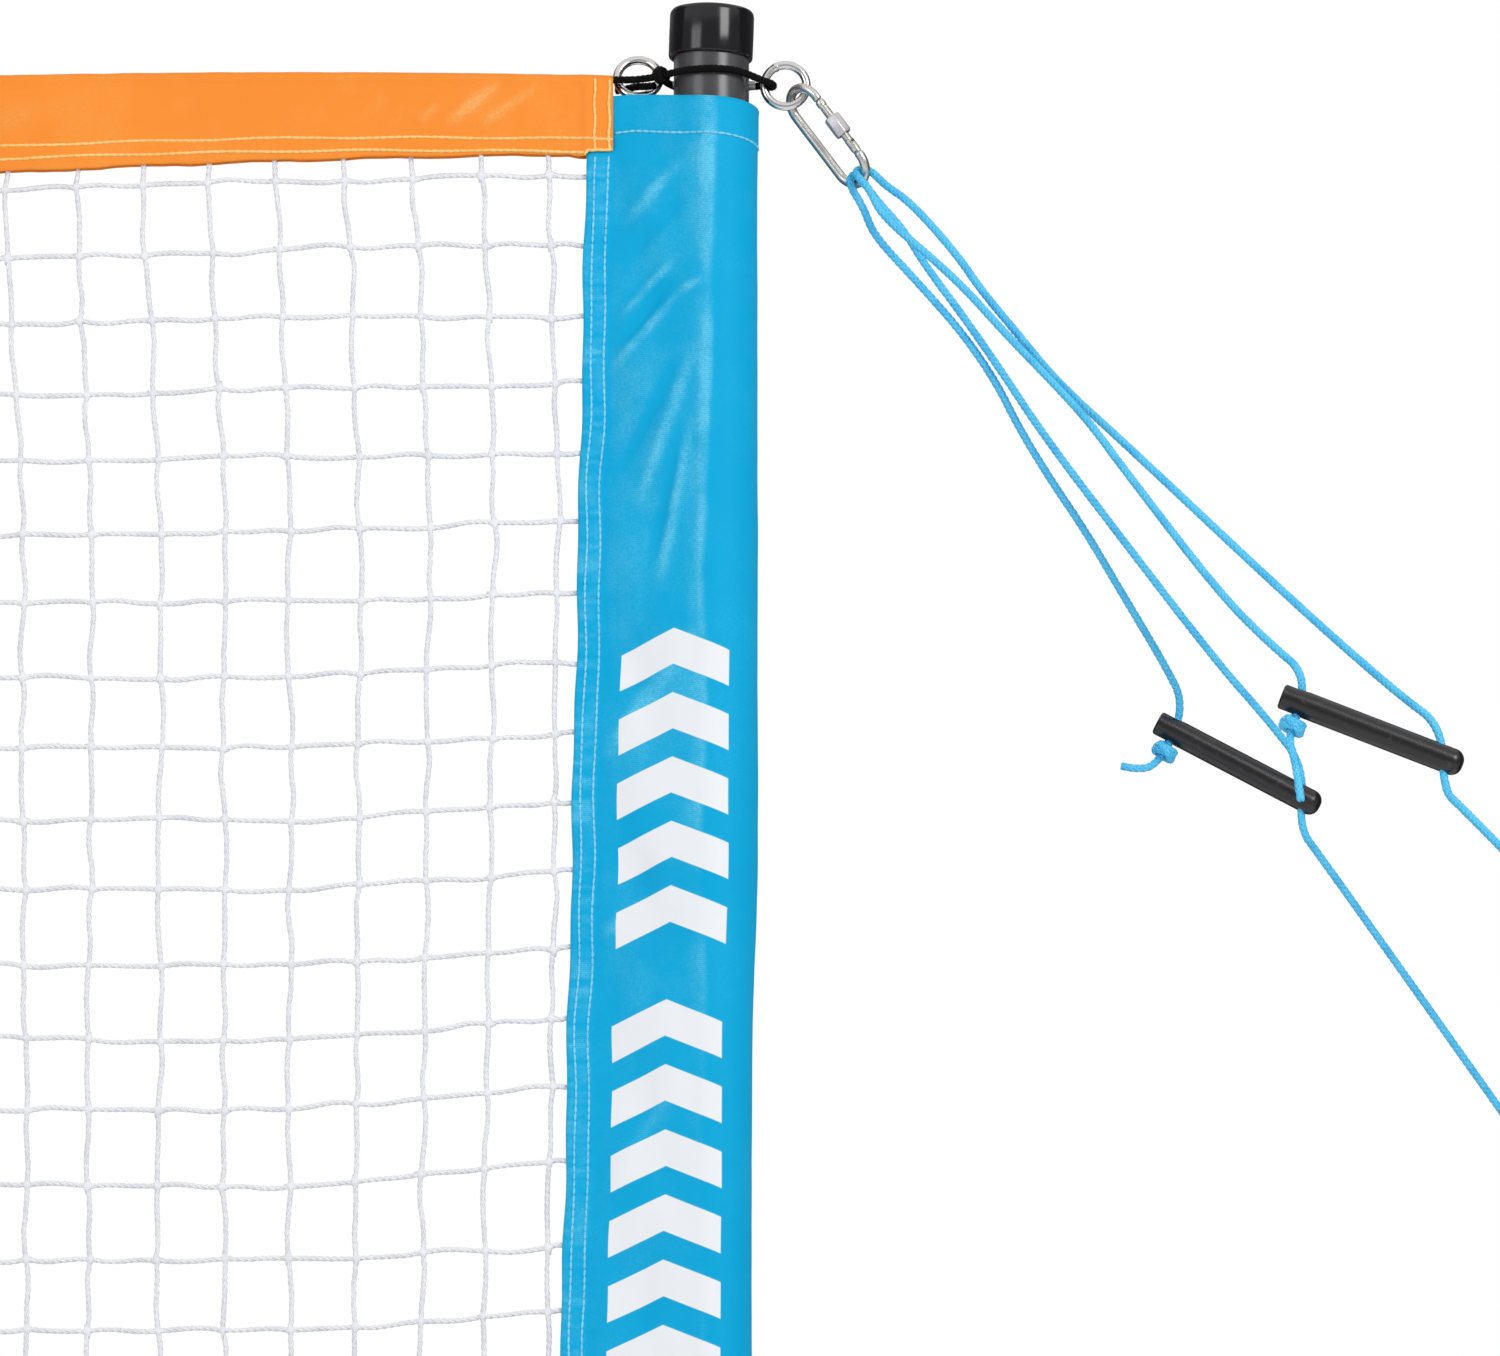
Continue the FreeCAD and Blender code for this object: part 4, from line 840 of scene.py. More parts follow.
# Pulls in the cloths: x and z of the start and of the end, height and width.
FRONT_PULLS = (
    (-0.0541, 0.848, -0.0224, 0.8799, 0.0013, 0.0034),
    (-0.0576, 0.8185, -0.0177, 0.8618, 0.0016, 0.0042),
    (-0.0177, 0.8618, -0.0024, 0.8685, 0.0012, 0.0036),
    (-0.0520, 0.833, -0.0240, 0.868, -0.0016, 0.0044),
    (-0.0399, 0.742, -0.0112, 0.8233, 0.0014, 0.0050),
    (-0.0500, 0.760, -0.0200, 0.8210, -0.0014, 0.0056),
    (-0.0290, 0.690, -0.0130, 0.7800, 0.0011, 0.0046),
    (-0.0350, 0.700, -0.0180, 0.7720, -0.0010, 0.0046),
    (-0.0024, 0.884, -0.0010, 0.9760, 0.0012, 0.0050),
    (-0.0055, 0.700, -0.0026, 0.8560, 0.0010, 0.0040),
    (-0.0500, 0.905, -0.0180, 0.9400, 0.0009, 0.0052),
    (-0.0480, 0.885, -0.0160, 0.9180, -0.0009, 0.0050),
    (-0.0580, 0.590, -0.0120, 0.6550, 0.0009, 0.0070),
    (-0.0640, 0.480, -0.0200, 0.5050, 0.0008, 0.0060),
    (-0.0600, 0.330, -0.0160, 0.3950, 0.0010, 0.0075),
    (-0.0660, 0.215, -0.0220, 0.2500, 0.0009, 0.0060))
BACK_PULLS = (
    (-0.060, 0.860, -0.012, 0.815, 0.0014, 0.0055), (-0.058, 0.700, -0.014, 0.742, 0.0012, 0.0060),
    (-0.062, 0.540, -0.012, 0.500, 0.0012, 0.0065), (-0.064, 0.360, -0.018, 0.410, 0.0012, 0.0065),
    (-0.066, 0.190, -0.020, 0.150, 0.0011, 0.0060))
TAPE_PULLS = (
    (-0.173, 0.966, -0.160, 0.980, 0.0008, 0.0026), (-0.158, 0.964, -0.124, 0.992, 0.0013, 0.0030),
    (-0.135, 0.966, -0.101, 0.990, 0.0010, 0.0028), (-0.215, 0.965, -0.190, 0.985, 0.0005, 0.0040),
    (-0.330, 0.966, -0.300, 0.984, 0.0005, 0.0050), (-0.430, 0.958, -0.395, 0.980, 0.0004, 0.0050))
TAPE_BACK_PULLS = (
    (-0.100, 0.990, -0.140, 0.960, 0.0010, 0.0032), (-0.250, 0.985, -0.290, 0.955, 0.0008, 0.0040),
    (-0.380, 0.986, -0.420, 0.960, 0.0007, 0.0045))


@dataclass
class PoleSleeve(Cloth):
    """Cloth sleeve: one strip folded round the pole, its two edges sewn over the net's edge."""

    cut: Cut = field(default_factory=lambda: Cut(
        "pole_sleeve", (130, 360), (0.251, 0.9127), Look.SLEEVE, Look.SLEEVE_THREAD, "blue_cloth",
        "sleeve_stitches", (0.0048, -0.0004, 0.0016), "hung", ["pole_tube"]))
    top: float = 0.9827
    bottom: float = 0.070
    left: float = -0.073
    flare: float = 0.0168
    seam: float = 0.0152
    close: float = 0.02315
    swell: float = 0.0248
    shift: float = 0.0017
    hem: float = 0.0225
    droop: float = 0.0092
    under_tape: float = 0.9457

    def edge(self, height: float) -> float:
        """Left edge of the sleeve at a height."""
        share = (self.top - height) / (self.top - self.bottom)
        wave = 0.0006 * math.sin(height * 41.0) + 0.0004 * math.sin(height * 97.0 + 1.0)
        return self.left - self.flare * share + wave

    def girth(self, height: float) -> tuple[float, float, float, float, float, float]:
        """Measures of the section at a height.

        Returns:
            Radius round the pole and its offset, place of the seam, length of the flat run up to
            the pole, angle where the cloth meets it, and length of the cloth all the way round.
        """
        share = ease(height, 0.40, 0.53)
        radius = self.close + (self.swell - self.close) * share
        shift = self.shift * share
        seam = self.edge(height) + self.seam
        reach = math.hypot(seam - shift, FOLD_HALF)
        touch = math.atan2(FOLD_HALF, seam - shift) - math.acos(radius / reach)
        flat = math.sqrt(reach * reach - radius * radius)
        return radius, shift, seam, flat, touch, 2.0 * (self.seam + flat) + 2.0 * touch * radius

    def section(self, height: float, share: float) -> Vector:
        """Point on the undisturbed section, a share of the way round from its front edge."""
        radius, shift, seam, flat, touch, total = self.girth(height)
        walk = total * share
        side = -1.0 if walk > total / 2 else 1.0
        if side < 0:
            walk = total - walk
        if walk < self.seam:
            point = Vector((self.edge(height) + walk, -FOLD_HALF, 0.0))
        elif walk < self.seam + flat:
            meet = Vector((shift + radius * math.cos(touch), -radius * math.sin(touch), 0.0))
            point = Vector((seam, -FOLD_HALF, 0.0)).lerp(meet, (walk - self.seam) / flat)
        else:
            angle = touch - (walk - self.seam - flat) / radius
            point = Vector((shift + radius * math.cos(angle), -radius * math.sin(angle), 0.0))
        return Vector((point.x, side * point.y, height))

    def fold(self, point: Vector, outward: Vector) -> float:
        """How far the cloth stands out at a point: hems, pulls from the seam and slack."""
        x, z = point.x, point.z
        seam = self.edge(z) + self.seam
        loose = ease(x, seam - 0.002, seam + 0.014)
        hem = 0.00045 * (1.0 - ease(self.top - z, self.hem - 0.0006, self.hem + 0.0008))
        rolled = 0.00035 * bump_at(self.top - z, 0.0, 0.0016)
        lap = 0.0004 * (1.0 - ease(x, seam - 0.0005, seam + 0.0008))
        side = -1.0 if outward.y < 0 else 1.0
        pulls = pulled(FRONT_PULLS if side < 0 else BACK_PULLS, x, z)
        free = 1.0 - ease(x, -0.030, -0.006)
        slack = 0.0013 * ripple(x * 26.0, side * 3.0, z * 9.0)
        slack += 0.0006 * ripple(x * 70.0, side * 7.0, z * 34.0)
        hang = 0.0011 * math.sin(z * 52.0 + 3.0 * x / 0.05) * bump_at(x, -0.040, 0.016)
        pinch = 0.00030 * math.sin(z * 640.0 + 2.0 * math.sin(z * 91.0)) * (1.0 - loose)
        swing = (slack + hang) * (0.35 + 0.65 * free)
        return hem + rolled + lap + pinch + loose * (max(pulls, -0.004 * free) + swing + 0.0004)

    def spine(self, height: float) -> float:
        """Place of the upright fold where the cloth meets the pole's front."""
        drift = 0.0045 * ease(0.870 - height, 0.0, 0.12)
        return -0.0010 - drift + 0.0016 * math.sin(height * 33.0)

    def rub(self, point: Vector) -> float:
        """How pale the cloth is at a point, partly wear-whitening and partly painted highlight:
        along the upright fold, on the ridges of the pulls and on the seam's puckers, with paler
        patches over the flat run.
        """
        x, z = point.x, point.z
        if point.y > 0.0:
            # Behind: painted highlight on the ridges of the pulls, partly wear, and paler cloth
            # over the flat run.
            back = pulled(BACK_PULLS, x, z, lambda height: 0.5)
            return 0.3 * (1.0 - ease(x, -0.010, 0.004)) + back
        off = x - self.spine(z)
        # Painted highlight along the upright fold where the cloth meets the pole's front, partly
        # wear-whitening.
        fold = (0.55 + 0.45 * ripple(4.0, 2.0, z * 17.0)) * (
            0.95 * bump_at(off, 0.0, 0.0026 + 0.0016 * ease(z, 0.86, 0.90))
            + 0.40 * bump_at(off, -0.005, 0.003 + 0.005 * ease(z, 0.86, 0.92)))
        # Paler on the ridges of the front pulls and less pale in their hollows: painted highlight
        # and shade, partly wear.
        lines = pulled(FRONT_PULLS, x, z, lambda height: 0.85 if height > 0 else -0.55, 0.7)
        seam = self.edge(z) + self.seam
        # Paler mottled patches over the flat run between the seam and the fold.
        slack = (0.27 + 0.30 * ripple(x * 34.0, 5.0, z * 17.0)) * ease(x, seam, seam + 0.003)
        slack *= 1.0 - ease(off, -0.002, 0.004)
        # Painted pale bands for the light on the seam's puckers.
        pucker_light = 0.35 + 0.65 * ripple(x * 60.0, 9.0, z * 300.0)
        pucker_light *= 1.0 - ease(x, seam - 0.002, seam)
        upper = 0.35 + 0.65 * ease(z, 0.30, 0.62)
        return min(1.0, max(0.0, (fold + lines + slack) * upper + max(0.0, pucker_light)))

    def place(self, u: float, v: float) -> Vector:
        """Point of the sleeve: u from the front edge round to the back one, v up it."""
        height = self.bottom + (self.top - self.bottom) * v
        here = self.section(height, u)
        ahead = self.section(height, min(u + 1e-4, 1.0)) - self.section(height, max(u - 1e-4, 0.0))
        outward = Vector((ahead.y, -ahead.x, 0.0)).normalized()
        point = here + outward * self.fold(here, outward)
        sway = 0.0006 * ripple(here.x * 30.0, 1.0, 4.0) * ease(v, 0.985, 1.0)
        droop = self.droop * max(0.0, 1.0 - abs(u - 0.5) / 0.38) * ease(v, 0.90, 0.985)
        return Vector((point.x, point.y, point.z + sway - droop))

    def rows(self) -> list[Row]:
        """Two upright rows on each side of the sewn edge and one along the top hem."""
        rows = [self.row(self._upright(inset, back), 420)
                for back in (False, True) for inset in (0.0050, 0.0128)]
        level = (self.top - self.hem - self.bottom) / (self.top - self.bottom)
        return rows + [self.row(
            lambda share: (0.068 + 0.864 * share, level + 0.0003 * math.sin(share * 23.0)), 260)]

    def _upright(self, inset: float, back: bool) -> Track:
        """Track of an upright row at a distance from the sewn edge, up to the tape."""
        low = 0.004
        high = (self.under_tape - self.bottom) / (self.top - self.bottom)

        def track(share: float) -> tuple[float, float]:
            """Shares on the cloth for a share along the row."""
            v = low + (high - low) * share
            height = self.bottom + (self.top - self.bottom) * v
            wobble = 0.0004 * math.sin(height * 75.0 + inset * 900.0)
            u = (inset + wobble) / self.girth(height)[-1]
            return (1.0 - u if back else u), v

        return track


@dataclass
class TopTape(Cloth):
    """Orange tape folded over the head cord, sewn to the net and lapped over the sleeve's corner.

    Down each side it rolls over the cord, draws in to the neck and drops to its edge.
    """

    cut: Cut = field(default_factory=lambda: Cut(
        "top_tape", (76, 430), (0.121, 0.4265), Look.TAPE, Look.TAPE_THREAD, "orange_tape",
        "tape_stitches", (0.0056, -0.0013, 0.0021), "stretched", ["head_cord", "net_mesh"]))
    left: float = NET_LEFT
    right: float = -0.0580
    lap: float = 0.0155
    rise: float = 0.0022
    bulge: float = 0.0031
    lap_half: float = 0.0033
    roll: float = 0.12
    draw: float = 0.08
    drop: float = 0.80

    def share_at(self, x: float) -> float:
        """Share of the tape's length."""
        return (x - self.left) / (self.right - self.left)

    def top(self, x: float) -> float:
        """Height of the top edge."""
        wave = 0.0003 * ripple(x * 60.0, 0.0, 2.0)
        return arch(self.share_at(x), 0.9943, 0.0127, 0.0112) + wave

    def low(self, x: float) -> float:
        """Height of the bottom edge without its waves."""
        return arch(self.share_at(x), 0.9328, 0.0272, 0.0120)

    def bottom(self, x: float) -> float:
        """Height of the bottom edge."""
        wave = 0.0005 * math.sin(x * 88.0) + 0.0004 * ripple(x * 90.0, 0.0, 7.0)
        dip = 0.0014 * ease(x, self.right - self.lap - 0.012, self.right - self.lap - 0.004)
        return self.low(x) + wave - dip + (self.rise if x > self.right - self.lap else 0.0)

    def place(self, u: float, v: float) -> Vector:
        """Point of the tape: u goes up the back, over the top and down the front, v along it."""
        x = self.left + (self.right - self.left) * v
        centre = self.top(x) - self.bulge - CLOTH / 2
        neck = centre - self.bulge * 1.6
        half = FOLD_HALF + (self.lap_half - FOLD_HALF) * ease(
            x, self.right - self.lap - 0.004, self.right - self.lap - 0.0005)
        fall = abs(u - 0.5) * 2.0
        side = -1.0 if u > 0.5 else 1.0
        if fall < self.roll:
            angle = fall / self.roll * math.pi / 2
            y = side * self.bulge * math.sin(angle)
            z = centre + self.bulge * math.cos(angle)
        elif fall < self.roll + self.draw:
            blend = (fall - self.roll) / self.draw
            y = side * (self.bulge + (half - self.bulge) * ease(blend, 0.0, 1.0))
            z = centre + (neck - centre) * blend
        else:
            y = side * half
            z = neck + (self.bottom(x) - neck) * (fall - (self.roll + self.draw)) / self.drop
        return Vector((x, y + side * self.crease(x, z, side, fall), z))

    def crease(self, x: float, z: float, side: float, fall: float) -> float:
        """How far the tape stands out: hem, pulls and waves."""
        free = ease(fall, 0.04, 0.30) * (1.0 - 0.6 * ease(fall, 0.86, 1.0))
        pulls = pulled(TAPE_PULLS if side < 0 else TAPE_BACK_PULLS, x, z)
        waves = 0.0007 * ripple(x * 24.0, side * 5.0, z * 30.0)
        waves += 0.00035 * ripple(x * 80.0, side * 9.0, z * 60.0)
        hem = 0.0004 * ease(x, self.right - self.lap - 0.0052, self.right - self.lap - 0.0038)
        edge = 0.00035 * ease(0.0135 - (z - self.bottom(x)), 0.0, 0.0012)
        return max(0.0, pulls + waves * 0.9 + 0.0004) * free + hem + edge

    def rub(self, point: Vector) -> float:
        """Painted highlight on the ridges of the pulls on the tape's front, partly wear, from 0 to
        1.
        """
        if point.y > 0.0:
            return 0.0
        # Painted highlight on the ridges of the front pulls, partly wear; the back stays plain.
        return min(1.0, pulled(TAPE_PULLS, point.x, point.z, lambda height: 650.0 * height, 1.4))

    def rows(self) -> list[Row]:
        """Two level rows above the bottom edge and two upright ones at the end, on each side."""
        rows = []
        for way in (1.0, -1.0):
            rows += [self.row(self._level(lift, way), 500) for lift in (0.0086, 0.0163)]
            rows += [self.row(self._upright(inset, way), 90) for inset in (0.0022, 0.0108)]
        return rows

    def _level(self, lift: float, way: float) -> Track:
        """Track of a level row above the bottom edge, way 1 in front and -1 behind."""

        def track(share: float) -> tuple[float, float]:
            """Shares on the cloth for a share along the row."""
            v = 0.001 + 0.996 * share
            x = self.left + (self.right - self.left) * v
            part, bottom = self.share_at(x), self.bottom(x)
            wobble = 0.0004 * math.sin(x * 75.0 + lift * 500.0)
            height = max(self.low(x) + lift - part * (0.0044 + 0.0036 * part) + wobble,
                         bottom + 0.0008)
            neck = self.top(x) - self.bulge * 2.6 - CLOTH / 2
            fall = self.roll + self.draw + self.drop * (neck - height) / (neck - bottom)
            return 0.5 + way * fall / 2, v

        return track

    def _upright(self, inset: float, way: float) -> Track:
        """Track of an upright row before the right end, way 1 in front and -1 behind."""

        def track(share: float) -> tuple[float, float]:
            """Shares on the cloth for a share along the row."""
            x = self.right - inset + 0.0003 * math.sin(share * 14.0)
            return 0.5 + way * (0.10 + 0.885 * share) / 2, self.share_at(x)

        return track


@dataclass
class FootTape(Cloth):
    """Orange tape folded round the net's bottom edge."""

    cut: Cut = field(default_factory=lambda: Cut(
        "foot_tape", (40, 260), (0.083, 0.394), Look.TAPE, Look.TAPE_THREAD, "orange_tape",
        "foot_tape_stitches", (0.0052, -0.0005, 0.0020), "stretched", ["net_mesh"]))
    left: float = NET_LEFT
    right: float = -0.0905
    low: float = 0.071
    high: float = 0.111
    drop: float = 0.94
    roll: float = 0.06

    def place(self, u: float, v: float) -> Vector:
        """Point of the tape: u goes down the front, under, and up the back."""
        x = self.left + (self.right - self.left) * v
        fall = 1.0 - abs(u - 0.5) * 2.0
        side = -1.0 if u < 0.5 else 1.0
        sag = 0.0010 * ripple(x * 30.0, 2.0, 0.0)
        centre = self.low + FOLD_HALF
        if fall > self.drop:
            angle = (fall - self.drop) / self.roll * math.pi / 2
            y, z = side * FOLD_HALF * math.cos(angle), centre - FOLD_HALF * math.sin(angle)
        else:
            y, z = side * FOLD_HALF, self.high + (centre - self.high) * fall / self.drop
        wave = 0.0005 * ripple(x * 40.0, side * 4.0, z * 60.0) + 0.0003
        return Vector((x, y + side * wave * ease(fall, 0.0, 0.3), z + 0.0004 + sag * 0.4))

    def rows(self) -> list[Row]:
        """Two level rows on each side."""
        return [self.row(lambda share, u=u: (u, 0.001 + 0.997 * share), 300)
                for u in (0.08, 0.16, 0.92, 0.84)]


@dataclass
class PoleCap:
    """Push-on cap with a rolled foot, a soft top edge and a slightly dished roof."""

    low: float = 1.0055
    high: float = 1.0350
    radius: float = 0.02485
    wall: float = 0.0025
    tilt: float = 2.0

    def build(self) -> None:
        """Builds the cap."""
        outer, low, high = self.radius, self.low, self.high
        inner = outer - self.wall
        profile = [(0.0, high - 0.0006), (outer * 0.55, high - 0.0003), (outer - 0.0030, high),
                   (outer - 0.0013, high - 0.0005), (outer - 0.0004, high - 0.0016),
                   (outer, high - 0.0034), (outer + 0.0001, (low + high) / 2),
                   (outer, low + 0.0016), (outer - 0.0003, low + 0.0005), (outer - 0.0010, low),
                   (inner + 0.0004, low), (inner, low + 0.0006), (inner, high - 0.0030),
                   (0.0, high - 0.0030)]
        mesh = turned("pole_cap_gloss", profile, 96)
        middle = Vector((0.0, 0.0, (low + high) / 2))
        mesh.transform(Matrix.Translation(middle)
                       @ Matrix.Rotation(math.radians(self.tilt), 4, "Y")
                       @ Matrix.Translation(-middle))
        add_piece("pole_cap_gloss", mesh, Look.CAP, "pole_and_net", "pole_cap", 50.0)


@dataclass
class Net:
    """Knotted net of twisted twine between the two tapes and the sleeve.

    Each row of knots has a height at the sleeve and one further out; each column has a place in
    the upper, the middle and the lower part.
    """

    sleeve: PoleSleeve
    twine: float = 0.0034
    seed: int = 21
    inner_heights: tuple[float, ...] = (
        0.9755, 0.9317, 0.8903, 0.8505, 0.8071, 0.7663, 0.7213, 0.6789, 0.6334, 0.5918, 0.5489,
        0.5074, 0.4629, 0.4186, 0.3773, 0.3326, 0.2892, 0.2481, 0.2071, 0.1658, 0.1243, 0.0788)
    outer_heights: tuple[float, ...] = (
        0.9755, 0.9351, 0.8933, 0.8499, 0.8089, 0.7663, 0.7261, 0.6836, 0.6412, 0.5983, 0.5573,
        0.5163, 0.4701, 0.4286, 0.3886, 0.3439, 0.2950, 0.2575, 0.2111, 0.1673, 0.1249, 0.0788)
    high_places: tuple[float, ...] = (-0.4826, -0.4564, -0.4161, -0.3758, -0.3360, -0.2963,
                                      -0.2565, -0.2160, -0.1759, -0.1346, -0.0968)
    mid_places: tuple[float, ...] = (-0.4813, -0.4442, -0.4046, -0.3635, -0.3223, -0.2848,
                                     -0.2472, -0.2056, -0.1650, -0.1269, -0.0893)
    low_places: tuple[float, ...] = (-0.4767, -0.4350, -0.3963, -0.3609, -0.3208, -0.2830,
                                     -0.2442, -0.2064, -0.1681, -0.1316, -0.0939)
    middle_height: float = 0.74
    steps: int = 12
    nodes: list[list[Vector]] = field(default_factory=list)

    def place_nodes(self) -> None:
        """Works out where the knots hang."""
        chance = random.Random(self.seed)
        for row, (inner, outer) in enumerate(zip(self.inner_heights, self.outer_heights)):
            loose = 0.0 if row in (0, len(self.inner_heights) - 1) else 1.0
            rise = (inner + outer) / 2 - self.middle_height
            line = []
            for high, mid, low in zip(self.high_places, self.mid_places, self.low_places):
                far, reach = (high, 0.19) if rise > 0 else (low, 0.47)
                x = mid + (far - mid) * min(1.0, abs(rise) / reach)
                sag = -0.0048 * ease(-x, 0.22, 0.42) * ease((inner + outer) / 2, 0.55, 0.90)
                slope = inner + (outer - inner) * min(1.25, max(0.0, (x + 0.2348) / 0.12))
                line.append(Vector((
                    x + chance.uniform(-0.0011, 0.0011), loose * chance.uniform(-0.0010, 0.0010),
                    slope + loose * (sag + chance.uniform(-0.0011, 0.0011)))))
            self.nodes.append(line)

    def strand(self, knots: Sequence[Vector], chance: random.Random,
               stiff: float = 1.0) -> list[Vector]:
        """A wavy strand through its knots."""
        line = []
        for a, b in zip(knots, knots[1:]):
            ahead = b - a
            side = Vector((-ahead.z, 0.0, ahead.x)).normalized()
            bow, twist, out = (chance.uniform(-most, most) * stiff
                               for most in (0.0016, 0.0009, 0.0008))
            for step in range(self.steps):
                t = step / self.steps
                sway = bow * math.sin(math.pi * t) + twist * math.sin(math.tau * t)
                line.append(a.lerp(b, t) + side * sway
                            + Vector((0.0, out * math.sin(math.pi * t), 0.0)))
        return line + [knots[-1].copy()]

    def build(self) -> None:
        """Builds upright strands, level strands and knots."""
        self.place_nodes()
        chance = random.Random(self.seed + 1)
        uprights = [self.strand(column, chance) for column in zip(*self.nodes)]
        uprights.append([Vector((self.sleeve.edge(z) + NET_INSET, 0.0, z))
                         for z in self.inner_heights])
        levels = []
        for row in self.nodes:
            end = Vector((self.sleeve.edge(min(row[0].z, 0.975)) + NET_INSET, 0.0,
                          row[-1].z + chance.uniform(-0.001, 0.001)))
            levels.append(self.strand(row + [end], chance, 0.9))
        for name, mesh, node in (
                ("net_uprights", NET_TWINE.mesh("net_uprights", uprights, self.twine), "net_mesh"),
                ("net_levels", NET_TWINE.mesh("net_levels", levels, self.twine), ""),
                ("net_knots", self.knot_mesh(), "")):
            add_piece(name, mesh, Look.TWINE, "pole_and_net", node)

    def knot_mesh(self) -> Mesh:
        """Small cross knots, one at each crossing, every second one mirrored."""
        base_bm = bmesh.new()
        bmesh.ops.create_icosphere(base_bm, subdivisions=2, radius=1.0)
        for vertex in base_bm.verts:
            x, y, z = vertex.co
            reach = math.hypot(x, z)
            star = 1.0 + 0.38 * math.cos(4.0 * math.atan2(z, x)) * reach
            groove = 1.0 - 0.16 * bump_at(x * 0.7 + z * 0.7, 0.0, 0.16) * (1.0 - 0.6 * reach)
            vertex.co = Vector((x * star, y * groove, z * star))
        base = written(base_bm, "knot")
        bm = bmesh.new()
        chance = random.Random(self.seed + 2)
        for row in self.nodes:
            for index, spot in enumerate(row):
                wide = self.twine * chance.uniform(0.86, 1.0)
                turn = Matrix.Rotation(chance.uniform(-0.35, 0.35), 4, "Y")
                size = Matrix.Diagonal((-wide if index % 2 else wide, self.twine * 0.66,
                                        wide * chance.uniform(0.95, 1.1), 1.0))
                stamp(bm, base, Matrix.Translation(spot) @ turn @ size)
        bpy.data.meshes.remove(base)
        return merged(bm, "net_knots", outward=False)


@dataclass
class Rings:
    """The two welded steel rings."""

    reach: float = 0.0125
    wire: float = 0.0025

    def ring_mesh(self, name: str, centre: Vector, lean: float, weld: float) -> Mesh:
        """One ring, upright across the net, with the bead of its weld.

        Args:
            name: Name of the mesh.
            centre: Centre of the ring.
            lean: Lean of its top away from the front, in degrees.
            weld: Place of the weld round the ring, in degrees.

        Returns:
            The closed ring.
        """
        bm = bmesh.new()
        upright = Matrix.Rotation(math.pi / 2, 4, "X")
        verts = bmesh.ops.create_circle(bm, segments=20, radius=self.wire, matrix=(
            Matrix.Translation((self.reach, 0, 0)) @ upright))["verts"]
        spin(bm, verts + edges_of(verts), 96)
        bmesh.ops.remove_doubles(bm, verts=bm.verts, dist=1e-7)
        for vertex in bm.verts:
            angle = math.degrees(math.atan2(vertex.co.y, vertex.co.x))
            off = (angle - weld + 180.0) % 360.0 - 180.0
            middle = Vector((vertex.co.x, vertex.co.y, 0.0)).normalized() * self.reach
            swell = 1.0 + 0.10 * bump_at(off, 0.0, 4.5) - 0.05 * bump_at(abs(off), 8.5, 2.0)
            swell += 0.02 * noise.noise(vertex.co * 900.0) * bump_at(off, 0.0, 7.0)
            vertex.co = middle + (vertex.co - middle) * swell
        lean_back = Matrix.Rotation(-math.radians(lean), 4, "X")
        bmesh.ops.transform(bm, verts=bm.verts, matrix=(
            Matrix.Translation(centre) @ lean_back @ upright))
        return merged(bm, name)

    def build(self) -> None:
        """Builds both rings."""
        for node, centre, lean, weld in (
                ("guy_ring", Vector((0.0437, 0.0, 0.9896)), 0.0, 118.0),
                ("tape_ring", Vector((-0.0432, 0.0064, 0.9957)), 18.0, 205.0)):
            mesh = self.ring_mesh(node + "_steel", centre, lean, weld)
            add_piece(node + "_steel", mesh, Look.RING, node, node)


@dataclass
class HeadCord:
    """Black cord through the tape, round the pole and the guy ring, tied off beside the pole."""

    route: tuple[Point, ...] = (
        (-484.5, 0.0, 991.7), (-271.2, 0.0, 995.2), (-51.0, 0.0, 992.7), (-36.0, -6.6, 992.6),
        (-16.2, -20.8, 994.2), (0.0, -26.4, 994.2), (16.2, -20.8, 994.2), (29.7, -6.6, 991.4),
        (36.6, -5.4, 989.6), (36.6, 5.4, 989.6), (29.7, 6.6, 991.4), (16.2, 20.8, 993.2),
        (0.0, 26.4, 993.2), (-16.2, 20.8, 993.2), (-24.0, 9.0, 991.7), (-28.8, -6.5, 991.8))
    tail: tuple[Point, ...] = ((-33.2, -5.2, 988.6), (-38.5, -2.4, 988.5), (-44.2, 4.6, 990.3),
                               (-50.5, 12.0, 990.6), (-56.5, 13.5, 989.7))

    def build(self) -> None:
        """Builds the cord, its tail and its knot."""
        line, tail_line = smooth_route(self.route), smooth_route(self.tail)
        wraps = HEAD_LINE.wraps(Vector((-0.0335, -0.0084, 0.9928)), Vector((19.8, -14.2, 1.6)),
                                0.0091, 0.0115, 1.9)
        cord = HEAD_LINE.piece("head_cord", line, "pole_and_net")
        tail = HEAD_LINE.piece("cord_tail", tail_line, "pole_and_net")
        knot = replace(HEAD_LINE, fullness=0.96).piece("head_knot", wraps, "pole_and_net")


